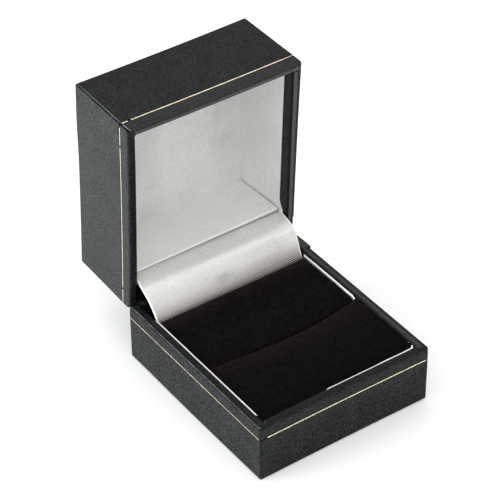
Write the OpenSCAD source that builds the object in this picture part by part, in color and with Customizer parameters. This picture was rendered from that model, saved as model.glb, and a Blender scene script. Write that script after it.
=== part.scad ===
// Hinged ring display box: leatherette over a moulded tray and lid, satin-lined,
// with two velvet pads that pinch a ring between them. Millimetres, +Z up, origin
// at the centre of the underside. The lid stands open at its stop.

/* [Body] */
// Outside width of both halves
body_w = 50; // [44:1:60]
// Outside depth of both halves
body_d = 55.6; // [50:0.2:64]
// Height of the covered base, without its sole
base_h = 16.3; // [15:0.1:20]
// Height of the covered lid
lid_h = 22.9; // [20:0.1:28]
// Gap between the two mouths when the box is shut
mouth_gap = 0.3; // [0.2:0.05:0.5]
// Thickness of the paper sole
sole_t = 0.3; // [0.2:0.1:0.6]
// Radius of the four upright edges
edge_r = 0.8; // [0.5:0.1:1.5]

/* [Shells and cover] */
// Wall of the moulded tray and lid
shell_t = 1.45; // [1.2:0.05:1.8]
// Floor of the tray
floor_t = 1.6; // [1:0.1:2]
// Roof of the lid shell
roof_t = 1.2; // [0.8:0.1:1.4]
// Thickness of the leatherette
cover_t = 0.35; // [0.25:0.05:0.4]
// Depth to which the leatherette is turned in over the mouth
turn_in = 5.5; // [4:0.5:6]
// Radius of the rounded back edge that lets the halves roll open
nose_r = 2.2; // [2.1:0.05:2.3]
// Length of the doubled lap at the back of each side rim
lap_l = 7.7; // [5:0.1:9]
// Height of that lap above the rim
lap_t = 0.3; // [0.1:0.05:0.35]

/* [Foil line] */
// Width of the foil line
foil_w = 0.5; // [0.3:0.05:0.8]
// Distance of the base line below the mouth
foil_base = 3.8; // [3:0.1:5]
// Distance of the lid line above the mouth
foil_lid = 3.55; // [3:0.05:5]

/* [Pads and linings] */
// Card thickness of the satin linings
lining_t = 0.5; // [0.3:0.1:0.7]
// Drop of the base lining below the rim
lining_drop = 0.35; // [0.2:0.05:0.6]
// Setback of the lid lining behind the mouth
lining_back = 3.5; // [2.5:0.1:4.5]
// Distance of the hinge well's partition from the back face
well_d = 8.6; // [8.2:0.1:9.4]
// Thickness of the velvet
velvet_t = 0.5; // [0.3:0.1:0.8]
// Position of the ring slot, forward of the middle
slot_y = -2.1; // [-6:0.1:4]
// Width of the ring slot
slot_w = 0.6; // [0.4:0.1:1.2]
// Drop of the front pad below the rim
front_drop = 0.35; // [0.2:0.05:1]
// Drop of the rear pad below the rim
rear_drop = 0.8; // [0.4:0.05:1.5]

/* [Hinge] */
// Angle the lid opens to
open_angle = 87.6; // [80:0.1:88]
// Distance of the hinge axis from the back face
hinge_in = 1.34; // [1.3:0.01:1.4]
// Drop of the hinge axis below the base rim
hinge_drop = 0.21; // [0.15:0.01:0.25]
// Radius of the hinge pins
pin_r = 0.45; // [0.4:0.05:0.5]
// Running clearance of the lid ears on the pins
pin_fit = 0.05; // [0.02:0.01:0.1]
// Radius of the bracket ears
ear_r = 1.15; // [1:0.05:1.2]
// Thickness of the bracket steel
bracket_t = 0.6; // [0.5:0.05:0.7]
// Width of the spring leaf
spring_w = 11.6; // [8:0.2:14]
// Thickness of the spring leaf
spring_t = 0.25; // [0.2:0.05:0.3]

/* [Hidden] */
$fn = 48;
e = 0.01;

rim = sole_t + base_h;              // base mouth
zm = rim + mouth_gap;               // lid mouth, lid shut
top = zm + lid_h;                   // lid roof, lid shut
hw = body_w / 2;
hd = body_d / 2;
hy = hd - hinge_in;                 // hinge axis
hz = rim - hinge_drop;
rim_t = 2 * cover_t + shell_t;      // full thickness of a covered wall
well_y = hd - well_d;               // front face of the well's partition
floor_z = sole_t + cover_t + floor_t;
back_in = hd - cover_t - shell_t;   // inner face of the bare back wall
lin_x = hw - rim_t - lining_t;      // inner face of the side linings
lin_y = hd - rim_t - lining_t;
satin_t = 0.15;
lid_floor = top - cover_t - roof_t; // underside of the lid's roof
board_t = 0.5;
foam_t = 0.5;
satin_z = lid_floor - board_t - foam_t - satin_t;
notch_in = 20.5;                    // hinge windows in the back walls
notch_out = hw - rim_t;
notch_r = ear_r + 0.3;

// where the spring's rolled ends sit, from the hinge axis
hook = [-1.75, -4.0];
hook_r = norm(hook);
hook_a = 360 + atan2(hook[1], hook[0]);
roll_r = 0.45;

// satin flap, side view, from the back top corner of the base, lid open
flap_pts = [
    [4.4, 5.95], [2.8, 6.05], [1.4, 6.55], [-0.5, 6.45], [-2.5, 5.8], [-4.2, 4.6],
    [-5.4, 2.8], [-6.2, 0.8], [-7.0, -0.9], [-7.8, -2.4], [-8.2, -3.7], [-8.25, -5]
];
flap_t = 0.3;
flap_w = 2 * (hw - rim_t - 0.35);

function spline(p, n) = [for (i = [0 : len(p) - 2], j = [0 : n - 1])
    let (t = j / n, a = p[max(i - 1, 0)], b = p[i], c = p[i + 1], d = p[min(i + 2, len(p) - 1)])
    0.5 * (2 * b + (c - a) * t + (2 * a - 5 * b + 4 * c - d) * t * t + (3 * b - a - 3 * c + d) * t * t * t)];
function unit(v) = v / norm(v);
function side(v) = [-v[1], v[0]];
function run(p, i) = unit(p[min(i + 1, len(p) - 1)] - p[max(i - 1, 0)]);
function ribbon(p, t) = concat(
    [for (i = [0 : len(p) - 1]) p[i] + side(run(p, i)) * t / 2],
    [for (i = [len(p) - 1 : -1 : 0]) p[i] - side(run(p, i)) * t / 2]);
function polar(r, a) = [r * cos(a), r * sin(a)];

// ---- shared shapes ----

// upright prism with rounded edges, centred on Z
module prism(w, d, z0, z1, r) {
    translate([0, 0, z0]) linear_extrude(height = z1 - z0) {
        square([w - 2 * r, d], center = true);
        square([w, d - 2 * r], center = true);
        for (x = [-1, 1], y = [-1, 1])
            translate([x * (w / 2 - r), y * (d / 2 - r)]) circle(r);
    }
}

// everything outside the rounded back edge of one half; s = 1 base, -1 lid
module nose_waste(z_mouth, r, s) {
    cz = z_mouth - s * nose_r;
    translate([0, hd - nose_r, cz]) difference() {
        translate([-hw - 1, 0, s > 0 ? 0 : -nose_r - 1]) cube([body_w + 2, nose_r + 1, nose_r + 1]);
        rotate([0, 90, 0]) cylinder(h = body_w + 4, r = r, center = true);
    }
}

// windows for the ears in a back wall
module ear_windows() {
    for (x = [-1, 1])
        translate([x * (notch_in + notch_out) / 2, hy, hz])
            cube([notch_out - notch_in, 2 * (hinge_in + 1), 2 * notch_r], center = true);
}

// outline in the YZ plane, drawn about the hinge axis, extruded along X
module across(x0, x1) {
    translate([x0, hy, hz]) rotate([90, 0, 90]) linear_extrude(height = x1 - x0) children();
}

// turns the shut lid back to its open stop
module opened() {
    translate([0, hy, hz]) rotate([-open_angle, 0, 0]) translate([0, -hy, -hz]) children();
}

// rectangular band round a half
module band(z0, z1, grow) {
    difference() {
        prism(body_w + 2 * grow, body_d + 2 * grow, z0, z1, edge_r + grow);
        prism(body_w, body_d, z0 - 1, z1 + 1, edge_r);
    }
}

// three-sided liner, open at the back
module liner(z0, z1, y_end) {
    difference() {
        prism(2 * (hw - rim_t), 2 * (hd - rim_t), z0, z1, 0.6);
        prism(2 * lin_x, 2 * lin_y, z0 - 1, z1 + 1, 1);
        translate([-hw, y_end, z0 - 1]) cube([body_w, body_d, z1 - z0 + 2]);
    }
}

// steel bracket: plate on the back wall, ears on the axis, lugs for the spring.
// s = -1 hangs below the axis (base), s = 1 stands above it (lid, shut)
module bracket(s, ear_x, hole_r) {
    u1 = hinge_in - cover_t - shell_t;
    u0 = u1 - bracket_t;
    difference() {
        union() {
            across(-22.4, 22.4) polygon([[u0, s * 2.2], [u1, s * 2.2], [u1, s * 11], [u0, s * 11]]);
            for (x = [-1, 1]) {
                across(x > 0 ? ear_x : -ear_x - bracket_t, x > 0 ? ear_x + bracket_t : -ear_x) {
                    circle(ear_r);
                    polygon([[-ear_r, 0], [0, 0], [0, s * ear_r], [u1, s * (ear_r + 0.2)], [u1, s * 4], [u0, s * 4], [u0, s * 1.9], [-ear_r, s * 1]]);
                }
                across(x > 0 ? 6.2 : -8.2, x > 0 ? 8.2 : -6.2)
                    polygon([[u0 + e, s * 3.1], [-2.8, s * 3.1], [-2.8, s * 4.3], [-2.45, s * 4.3], [-2.45, s * 3.45], [u0 + e, s * 3.45]]);
            }
        }
        for (x = [-1, 1])
            translate([x * (ear_x + bracket_t / 2), hy, hz]) rotate([0, 90, 0])
                cylinder(h = 2 * bracket_t, r = hole_r, center = true);
        for (x = [-15, 0, 15])
            translate([x, hy + u0, hz + s * 8]) rotate([90, 0, 0]) cylinder(h = 4, r = 0.6, center = true);
    }
}

// clinched rivets that hold a bracket to its shell
module rivets(s) {
    u0 = hinge_in - cover_t - shell_t - bracket_t;
    for (x = [-15, 0, 15])
        translate([x, hy + u0, hz + s * 8]) {
            rotate([-90, 0, 0]) cylinder(h = bracket_t + 1, r = 0.6);
            rotate([90, 0, 0]) cylinder(h = 0.35, r = 1.2);
            translate([0, -0.35, 0]) rotate([90, 0, 0]) cylinder(h = 0.2, r = 0.85);
        }
}
module rivet_holes(s) {
    for (x = [-15, 0, 15])
        translate([x, back_in - e, hz + s * 8]) rotate([-90, 0, 0]) cylinder(h = 1 + e, r = 0.6);
}

// ---- base ----

module base_shell() {
    color([0.13, 0.13, 0.14]) difference() {
        prism(body_w - 2 * cover_t, body_d - 2 * cover_t, sole_t + cover_t, rim - cover_t, edge_r - cover_t);
        prism(2 * (hw - cover_t - shell_t), 2 * back_in, floor_z, rim + 1, 0.5);
        nose_waste(rim, nose_r - cover_t, 1);
        ear_windows();
        rivet_holes(-1);
    }
}

module base_cover() {
    c = cover_t;
    color([0.16, 0.17, 0.18]) {
        difference() {
            prism(body_w, body_d, sole_t, rim, edge_r);
            // the shell, and the bare floor under it
            difference() {
                prism(body_w - 2 * c, body_d - 2 * c, sole_t + c, rim - c, edge_r - c);
                nose_waste(rim, nose_r - c, 1);
            }
            prism(body_w - 16, body_d - 16, sole_t - 1, sole_t + 1, 1);
            // the mouth, with the leatherette turned in at the front and sides
            translate([-(hw - rim_t), -(hd - rim_t), sole_t + 1]) cube([2 * (hw - rim_t), back_in + hd - rim_t, rim]);
            nose_waste(rim, nose_r, 1);
            ear_windows();
        }
        difference() {
            prism(2 * (hw - c - shell_t), 2 * back_in, rim - turn_in, rim - c, 0.5);
            prism(2 * (hw - rim_t), 2 * (hd - rim_t), rim - turn_in - 1, rim + 1, 0.6);
            translate([-hw, hd - nose_r - 2, 0]) cube([body_w, body_d, rim + 1]);
        }
        // doubled laps at the back of the side rims
        for (x = [-1, 1])
            translate([x > 0 ? hw - rim_t : -hw + 0.25, hd - lap_l, rim - e])
                cube([rim_t - 0.25, lap_l - nose_r, lap_t + e]);
    }
}

module base_sole() {
    color([0.10, 0.10, 0.11]) prism(body_w - 2.4, body_d - 2.4, 0, sole_t, 1.5);
}

module base_foil_line() {
    color([0.90, 0.80, 0.55]) band(rim - foil_base - foil_w / 2, rim - foil_base + foil_w / 2, 0.04);
}

module base_lining() {
    color([0.90, 0.90, 0.88]) liner(floor_z, rim - lining_drop, well_y - 0.1);
}

module pad_board() {
    color([0.75, 0.74, 0.70])
        slab(-lin_y + 0.05, well_y - 0.05, floor_z, floor_z + 1, 0, 1);
}

// block between the side linings, its two front corners rounded to radius r
module slab(y0, y1, z0, z1, inset, r) {
    x1 = lin_x - 0.05 - inset;
    translate([0, 0, z0]) linear_extrude(height = z1 - z0) {
        translate([-x1, y0 + inset + r]) square([2 * x1, y1 - y0 - 2 * inset - r]);
        translate([-x1 + r, y0 + inset]) square([2 * (x1 - r), r + e]);
        for (x = [-1, 1]) translate([x * (x1 - r), y0 + inset + r]) circle(r);
    }
}
module pad_box(y0, y1, z1, inset) {
    slab(y0, y1, floor_z + 1, z1 - inset, inset, 1);
}

module pad_foam_front() {
    color([0.25, 0.25, 0.26]) pad_box(-lin_y + 0.05, slot_y - slot_w / 2, rim - front_drop, velvet_t);
}

module pad_foam_rear() {
    color([0.25, 0.25, 0.26]) pad_box(slot_y + slot_w / 2, well_y - 0.05, rim - rear_drop, velvet_t);
}

module pad_velvet_front() {
    color([0.05, 0.04, 0.05]) difference() {
        pad_box(-lin_y + 0.05, slot_y - slot_w / 2, rim - front_drop, 0);
        translate([0, 0, -e]) pad_box(-lin_y + 0.05, slot_y - slot_w / 2, rim - front_drop + e, velvet_t);
    }
}

module pad_velvet_rear() {
    color([0.05, 0.04, 0.05]) difference() {
        pad_box(slot_y + slot_w / 2, well_y - 0.05, rim - rear_drop, 0);
        translate([0, 0, -e]) pad_box(slot_y + slot_w / 2, well_y - 0.05, rim - rear_drop + e, velvet_t);
    }
}

module base_hinge_bracket() {
    color([0.35, 0.35, 0.37]) bracket(-1, 21.8, pin_r);
}

module base_bracket_rivets() {
    color([0.60, 0.60, 0.62]) rivets(-1);
}

module hinge_pins() {
    color([0.70, 0.70, 0.72]) for (x = [-1, 1])
        translate([0, hy, hz]) rotate([0, x * 90, 0]) {
            translate([0, 0, 20.85]) cylinder(h = 1.75, r = pin_r);
            translate([0, 0, 20.75]) cylinder(h = 0.25, r = 0.8);
        }
}

// ---- lid, drawn shut and turned back to its stop ----

module lid_shell() {
    color([0.13, 0.13, 0.14]) opened() difference() {
        prism(body_w - 2 * cover_t, body_d - 2 * cover_t, zm + cover_t, top - cover_t, edge_r - cover_t);
        prism(2 * (hw - cover_t - shell_t), 2 * back_in, zm - 1, lid_floor, 0.5);
        nose_waste(zm, nose_r - cover_t, -1);
        ear_windows();
        rivet_holes(1);
        // room for the laps on the base
        translate([-hw, hd - lap_l - 0.1, zm - 1]) cube([body_w, body_d, 1 + cover_t + lap_t]);
    }
}

module lid_cover() {
    c = cover_t;
    color([0.16, 0.17, 0.18]) opened() {
        difference() {
            prism(body_w, body_d, zm, top, edge_r);
            difference() {
                prism(body_w - 2 * c, body_d - 2 * c, zm + c, top - c, edge_r - c);
                nose_waste(zm, nose_r - c, -1);
                translate([-hw, hd - lap_l - 0.1, zm - 1]) cube([body_w, body_d, 1 + c + lap_t]);
            }
            translate([-(hw - rim_t), -(hd - rim_t), zm - 1]) cube([2 * (hw - rim_t), back_in + hd - rim_t, lid_h / 2]);
            nose_waste(zm, nose_r, -1);
            ear_windows();
            translate([-hw - 1, hd - lap_l - 0.1, zm - 1]) cube([body_w + 2, body_d, 1 + lap_t]);
        }
        difference() {
            prism(2 * (hw - c - shell_t), 2 * back_in, zm + c, zm + turn_in, 0.5);
            prism(2 * (hw - rim_t), 2 * (hd - rim_t), zm - 1, zm + turn_in + 1, 0.6);
            translate([-hw, hd - nose_r - 2, 0]) cube([body_w, body_d, top + 1]);
            translate([-hw - 1, hd - lap_l - 0.1, zm - 1]) cube([body_w + 2, body_d, 1 + lap_t + c]);
        }
    }
}

module lid_foil_line() {
    color([0.90, 0.80, 0.55]) opened() band(zm + foil_lid - foil_w / 2, zm + foil_lid + foil_w / 2, 0.04);
}

module lid_panel(z0, z1, inset) {
    translate([-lin_x + inset, -lin_y + inset, z0]) cube([2 * (lin_x - inset), well_y + lin_y - 2 * inset, z1 - z0]);
}

module lid_top_board() {
    color([0.75, 0.74, 0.70]) opened() lid_panel(lid_floor - board_t, lid_floor, 0.05);
}

module lid_top_foam() {
    color([0.85, 0.85, 0.83]) opened() lid_panel(lid_floor - board_t - foam_t, lid_floor - board_t, 0.15);
}

module lid_top_satin() {
    color([0.92, 0.92, 0.90]) opened() difference() {
        lid_panel(satin_z, lid_floor - board_t, 0.02);
        lid_panel(satin_z + satin_t, lid_floor, 0.15);
    }
}

module lid_side_lining() {
    color([0.92, 0.92, 0.90]) opened() liner(zm + lining_back, satin_z, well_y);
}

module lid_rear_lining() {
    color([0.92, 0.92, 0.90]) opened()
        translate([-(hw - rim_t) + 0.05, well_y, zm + lining_back]) cube([2 * (hw - rim_t) - 0.1, 0.6, lid_floor - zm - lining_back]);
}

module lid_hinge_bracket() {
    color([0.35, 0.35, 0.37]) opened() bracket(1, 21.1, pin_r + pin_fit);
}

module lid_bracket_rivets() {
    color([0.60, 0.60, 0.62]) opened() rivets(1);
}

// ---- pieces that bridge the hinge ----

// C-shaped leaf with a rolled end under the lugs of each bracket
module hinge_spring() {
    a1 = 360 - hook_a - open_angle;
    arc = [for (i = [0 : 24]) let (s = i / 24)
        polar(hook_r - 1.0 * sin(180 * s), (hook_a) * (1 - s) + a1 * s)];
    color([0.55, 0.56, 0.60]) {
        across(-spring_w / 2, spring_w / 2) polygon(ribbon(arc, spring_t));
        for (a = [hook_a, a1])
            across(-8.4, 8.4) translate(polar(hook_r, a)) circle(roll_r, $fn = 24);
    }
}

// satin flap that hides the hinge well, drawn with the lid open
module satin_flap() {
    color([0.93, 0.92, 0.88])
        translate([-flap_w / 2, hd, rim]) rotate([90, 0, 90]) linear_extrude(height = flap_w)
            polygon(ribbon(concat(spline(flap_pts, 4), [flap_pts[len(flap_pts) - 1]]), flap_t));
}

base_shell();
base_cover();
base_sole();
base_foil_line();
base_lining();
pad_board();
pad_foam_front();
pad_foam_rear();
pad_velvet_front();
pad_velvet_rear();
base_hinge_bracket();
base_bracket_rivets();
hinge_pins();
lid_shell();
lid_cover();
lid_foil_line();
lid_top_board();
lid_top_foam();
lid_top_satin();
lid_side_lining();
lid_rear_lining();
lid_hinge_bracket();
lid_bracket_rivets();
hinge_spring();
satin_flap();
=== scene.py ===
import math

import bmesh
import bpy
import numpy as np
from mathutils import Matrix, Quaternion, Vector, kdtree, noise


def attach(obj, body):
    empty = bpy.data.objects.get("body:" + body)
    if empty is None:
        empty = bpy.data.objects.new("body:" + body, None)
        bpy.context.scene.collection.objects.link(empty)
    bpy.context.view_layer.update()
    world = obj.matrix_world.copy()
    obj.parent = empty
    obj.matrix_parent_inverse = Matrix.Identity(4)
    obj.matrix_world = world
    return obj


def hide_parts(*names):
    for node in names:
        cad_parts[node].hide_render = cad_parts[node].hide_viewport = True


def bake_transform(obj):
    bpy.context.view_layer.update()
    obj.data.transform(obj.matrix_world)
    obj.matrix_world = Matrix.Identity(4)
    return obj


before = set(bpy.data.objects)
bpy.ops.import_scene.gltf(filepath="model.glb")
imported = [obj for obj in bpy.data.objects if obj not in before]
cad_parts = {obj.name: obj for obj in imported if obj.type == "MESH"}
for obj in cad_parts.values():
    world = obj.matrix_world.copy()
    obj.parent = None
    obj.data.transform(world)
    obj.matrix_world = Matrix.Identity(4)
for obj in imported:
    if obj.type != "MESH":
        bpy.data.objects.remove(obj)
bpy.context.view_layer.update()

MM = 0.001

# ---------------------------------------------------------------- measures, mm, as in the CAD source
HW, HD = 25.0, 27.8
SOLE, RIM, ZM, TOP = 0.3, 16.6, 16.9, 39.8
HY, HZ, OPEN = 26.46, 16.39, math.radians(87.6)
NOSE, LAP_L, LAP_T = 2.2, 7.7, 0.3
RIM_T = 2.15
FLOOR_Z = 2.25
WELL_Y = 19.2
LIN_X, LIN_Y = 22.35, 25.15
SATIN_Z, LID_FLOOR = 37.1, 38.25
BASE_H, LID_H = 16.3, 22.9


def opened(p):
    """shut lid -> lid at its open stop"""
    p = np.array(p, float)
    y, z = p[..., 1] - HY, p[..., 2] - HZ
    c, s = math.cos(OPEN), math.sin(OPEN)
    p[..., 1] = HY + y * c + z * s
    p[..., 2] = HZ - y * s + z * c
    return p


def ns(x, y, z, scale=1.0, seed=0.0):
    return noise.noise(Vector((x / scale + seed, y / scale - seed * 0.7, z / scale + seed * 1.3)))


def smooth(t):
    t = np.clip(t, 0, 1)
    return t * t * (3 - 2 * t)


# ---------------------------------------------------------------- meshes
def build(name, verts, faces, sharp=None, attr=None):
    """verts in mm; attr is a per-vertex fabric coordinate in mm"""
    me = bpy.data.meshes.new(name)
    me.from_pydata([tuple(v) for v in np.asarray(verts, float) * MM], [], faces)
    me.validate()
    me.update()
    ob = bpy.data.objects.new(name, me)
    bpy.context.scene.collection.objects.link(ob)
    me.shade_smooth()
    if sharp:
        me.set_sharp_from_angle(angle=math.radians(sharp))
    if attr is not None:
        a = me.attributes.new("fab", "FLOAT_VECTOR", "POINT")
        a.data.foreach_set("vector", np.asarray(attr, np.float32).ravel())
    return ob


def applied(ob):
    dg = bpy.context.evaluated_depsgraph_get()
    me = bpy.data.meshes.new_from_object(ob.evaluated_get(dg))
    old = ob.data
    ob.modifiers.clear()
    ob.data = me
    me.name = old.name
    return ob


def grid_faces(rows, cols, loop=False, start=0):
    f = []
    for i in range(rows - 1):
        for j in range(cols if loop else cols - 1):
            a, b = start + i * cols + j, start + i * cols + (j + 1) % cols
            f.append((a, b, b + cols, a + cols))
    return f


def outward(ob):
    bm = bmesh.new()
    bm.from_mesh(ob.data)
    bmesh.ops.recalc_face_normals(bm, faces=bm.faces)
    bm.to_mesh(ob.data)
    bm.free()
    return ob


# rounded rectangle, aligned from ring to ring so that the corners mitre
R0 = 0.4  # corner radius of the outer wall, away from the mouth


def corner_r(d, r0=R0):
    return float(np.interp(d, [0.0, 0.5, 1.2, 2.15, 3.0, 6.0], [r0, max(0.3, r0 - 0.12), 0.5, 0.6, 1.0, 1.5]))


def stations(end, keep, step=1.5, extra=()):
    s = list(np.arange(-keep, keep + 0.01, 2 * keep / round(2 * keep / step)))
    s = s[1:-1]
    for a in (-1, 1):
        s += [a * v for v in np.arange(keep, end - 1.6, 0.5)]
        s += [a * v for v in np.linspace(end - 1.6, end, 12)]
    s += list(extra)
    return sorted(set(round(v, 3) for v in s))


LAP_Y = HD - LAP_L + 0.35
SEAM_X = -24.47
PATH_X = stations(HW - R0, 18.0, extra=[SEAM_X + k for k in (-0.13, -0.1, 0.1, 0.13)])
PATH_Y = stations(HD - R0, 21.0, extra=[LAP_Y + k * 0.06 for k in range(-6, 7)])
ARC = 7


def along(s, end0, end, keep):
    """position of a station when the straight side ends at `end` instead of end0"""
    if end < keep + 1:
        return s * end / end0
    if abs(s) <= keep:
        return s
    return math.copysign(keep + (abs(s) - keep) * (end - keep) / (end0 - keep), s)


def ring(d, px=PATH_X, py=PATH_Y, arc=ARC, r0=R0):
    """points of the ring at inset d: x, y, outward normal, t along the side (-1..1), q from the nearest corner, side"""
    r = corner_r(d, r0)
    ex, ey = HW - d - r, HD - d - r
    out = []
    e0x, e0y = HW - R0, HD - R0
    for side in range(4):
        st, e0, ee, keep = (px, e0x, ex, 18.0) if side % 2 == 0 else (py, e0y, ey, 21.0)
        seq = st if side < 2 else [-v for v in st][::1]
        seq = sorted(st) if side < 2 else sorted(st, reverse=True)
        for s in seq:
            v = along(s, e0, ee, keep)
            t = s / e0
            q = (e0 - abs(s)) * (1 if s * (1 if side < 2 else -1) < 0 else -1)
            if side == 0:
                out.append((v, -(HD - d), 0, -1, t, q, 0))
            elif side == 1:
                out.append((HW - d, v, 1, 0, t, q, 1))
            elif side == 2:
                out.append((v, HD - d, 0, 1, t, q, 2))
            else:
                out.append((-(HW - d), v, -1, 0, t, q, 3))
        cx, cy = [(ex, -ey), (ex, ey), (-ex, ey), (-ex, -ey)][side]
        a0 = [-90, 0, 90, 180][side]
        for k in range(1, arc + 1):
            a = math.radians(a0 + 90 * k / (arc + 1))
            out.append((cx + r * math.cos(a), cy + r * math.sin(a), math.cos(a), math.sin(a), 1.0, (k / (arc + 1) - 0.5) * 0.3, 10 + side))
    return np.array(out)


def nose_drop(y):
    v = np.clip((y - (HD - NOSE)) / NOSE, 0, 1)
    return NOSE * (1 - np.sqrt(np.maximum(0, 1 - v * v)))


PLEATS = ((-1.05, 0.06, 0.22), (-0.35, 0.13, 0.15), (0.12, -0.10, 0.12), (0.62, 0.12, 0.18), (1.25, 0.05, 0.25))


def mitre(x):
    """where the folded front strip of the lid's rim ends over the side strip, at its right corner"""
    return -25.6 - 0.14 * np.maximum(0, x - 23.5) ** 2


def paper_and_painted_light(half, d, u, p, g):
    """per point: above 0 mixes in grey, for the bare paper at the front sheet's cut edge and for painted light (lighter
    lid faces and rims, painted highlights on the pleat crests, along the base's left mouth edge, above the lid's mitre
    and on the base's lap); below 0 darkens, for painted shade (left rim tops, inside the rim below its top, the crease,
    along the mitre) and for darker lines beside the foil, over the lid's left front edge, under the base's left mouth
    edge and towards the bottom of the base's front
    """
    x, y, q, side = p[:, 0], p[:, 1], g[:, 5], g[:, 6]
    left = ((side == 3) | (side == 13)).astype(float)
    right = ((side == 1) | (side == 10)).astype(float)
    front = (side == 0).astype(float)
    w = np.zeros(len(p))
    if half == "lid" and d < 0.3 and u > 0.2:
        # painted light: the lid's front strip below the mouth and its left face are made lighter
        w = np.where(front * (u < 3.3) > 0, 0.035, np.where(side == 3, 0.036, w))
        inside = (side == 0) & (x < -23)
        n = np.array([ns(a, u, 3.0, 0.8, 91.0) for a in x])
        off = np.abs(g[:, 4] * (HW - R0) - SEAM_X)
        seam_paper_and_painted_shade = np.where(inside & (off < 0.115), np.where(off < 0.05, 1.0, 0.35), 0.0) * np.clip(0.85 + 0.9 * n, 0.3, 1)
        w = np.where(seam_paper_and_painted_shade > 0, seam_paper_and_painted_shade * (1 - 0.55 * float(smooth(np.array((u - LID_H + 5.0) / 4.0)))), w)
        w = w - 0.8 * (side == 13) * (x > -HW + 0.1) * (1 - seam_paper_and_painted_shade)
    if u < 0.7 and 0.05 < d < 2.0:
        n = np.array([ns(a, b, 0.0, 0.6, 33.0) + 0.6 * ns(a, b, 0.0, 0.45, 35.0) for a, b in zip(x, y)])
        if half == "lid":
            # painted light on the lid's rim tops, front and right
            rim = 0.17 * front + 0.19 * right
            w = np.maximum(w, rim * smooth((d - 0.8) / 0.25) * (1 - smooth((d - 1.95) / 0.1)))
            # painted light on the front's rounded mouth edge
            w = w + 0.05 * front * (d < 0.8)
            # painted shade on the lid's left rim top
            w = w - 0.85 * left * smooth((d - 0.1) / 0.08)
            if d > 0.25:
                # a painted highlight just above the mitre, then painted shadow along it where the folded front strip
                # lies over the side strip
                w = w + 0.14 * right * np.exp(-(((y - mitre(x) + 0.6) / 0.3) ** 2)) * (x > 22.6)
                w = w - 1.0 * right * np.exp(-(((y - mitre(x) - 0.05) / 0.17) ** 2)) * (x > 22.6)
        else:
            # painted light on the base's right rim top
            w = np.maximum(w, 0.09 * right * smooth((d - 0.8) / 0.25) * (1 - smooth((d - 1.7) / 0.2)))
            # painted light on the lap at the back of the right wall
            w = np.maximum(w, 0.10 * smooth((np.abs(y - HD + 4.4) - 3.0) / -0.3) * (side == 1))
            # painted shade on the base's left rim top
            w = w - 1.0 * left * smooth((d - 0.2) / 0.08)
            # painted highlights: a thin line along the left mouth edge and a fainter one across the rim top
            bright = 0.42 * left * math.exp(-(((d - 0.15) / 0.05) ** 2)) * np.clip(0.65 + 0.8 * n, 0.25, 1)
            second = 0.16 * left * math.exp(-(((d - 1.09) / 0.1) ** 2)) * np.clip(0.6 + 1.2 * n, 0.0, 1)
            w = np.where(bright > 0.08, bright, w)
            w = np.where(second > 0.04, second, w)
        # painted highlights on the pleat crests
        crest = np.zeros(len(p))
        for c, a, wd in PLEATS:
            if a > 0.1:
                crest += np.exp(-(((q - c * (0.6 + 0.4 * d)) / (wd * 0.45)) ** 2))
        w = np.maximum(w, 0.32 * crest * np.clip((n + 0.25) / 0.5, 0, 1) * min(1, max(0, (d - 0.4) / 0.4)))
    if half == "base" and d < 0.05 and 0.2 < u < 0.5:
        w = w - 0.5 * left
    if half == "base" and d < 0.3 and u > 1.0:
        w = w + front * (0.012 - 0.10 * float(smooth(np.array((u - 5.0) / 9.0))))
    # painted shade inside the rim, below its top, lighter on the right
    if d > 1.9 and 0.1 < u < 1.0:
        w = w - np.where(right > 0, 0.25, 0.7)
    # painted light on the lid's right inner face
    if half == "lid" and 2.0 < d < 2.4 and u > 1.0:
        w = w + 0.03 * right
    em = 0.5 if half == "base" else 0.75
    # painted shade in the crease
    if abs(d - em - 0.2) < 0.03 and u < 0.2:
        w = w - 0.3
    foil = 3.8 if half == "base" else 3.55
    if 0.15 < abs(u - foil) < 0.3 and d < 0.1:
        w = w - 0.75
    return w


def settle(half, x, y, d, u, H):
    """the covered walls are not dead flat: flare at the mouth's right, bulge at the foot, a skewed closed end"""
    near = max(0.0, 1 - d / (2.15 if u < 5.5 else 4.0))
    dx, dy, dz = np.zeros_like(x), np.zeros_like(x), np.zeros_like(x)
    to_right, to_left, to_front = smooth((x - 18) / 7), smooth((-x - 18) / 7), smooth((-y - 20) / 7)
    if half == "base":
        dx += 0.22 * to_right * near
        dx -= 0.14 * np.clip(u / H, 0, 1) * np.maximum(0, 1 - ((y + 2) / 22) ** 2) * to_left * near
        dy -= 0.22 * float(np.clip((u - 3) / (H - 3), 0, 1)) * to_front * near
    else:
        k = np.clip((y + 27.8) / 50, 0, 1)
        dx += (0.42 * (1 - k) + 0.08 * k) * (1 - 1.45 * np.clip(u / H, 0, 1)) * to_right * near
        dx -= 0.24 * np.exp(-(((y + 19) / 10) ** 2)) * np.clip(u / H, 0, 1) * to_left * near
        dz += 0.30 * np.clip((x + 25) / 50, 0, 1) ** 2 * np.clip((27.8 - y) / 55.6, 0, 1) ** 1.5 * float(smooth(np.array((u - H + 3) / 3)))
    return dx, dy, dz


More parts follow.
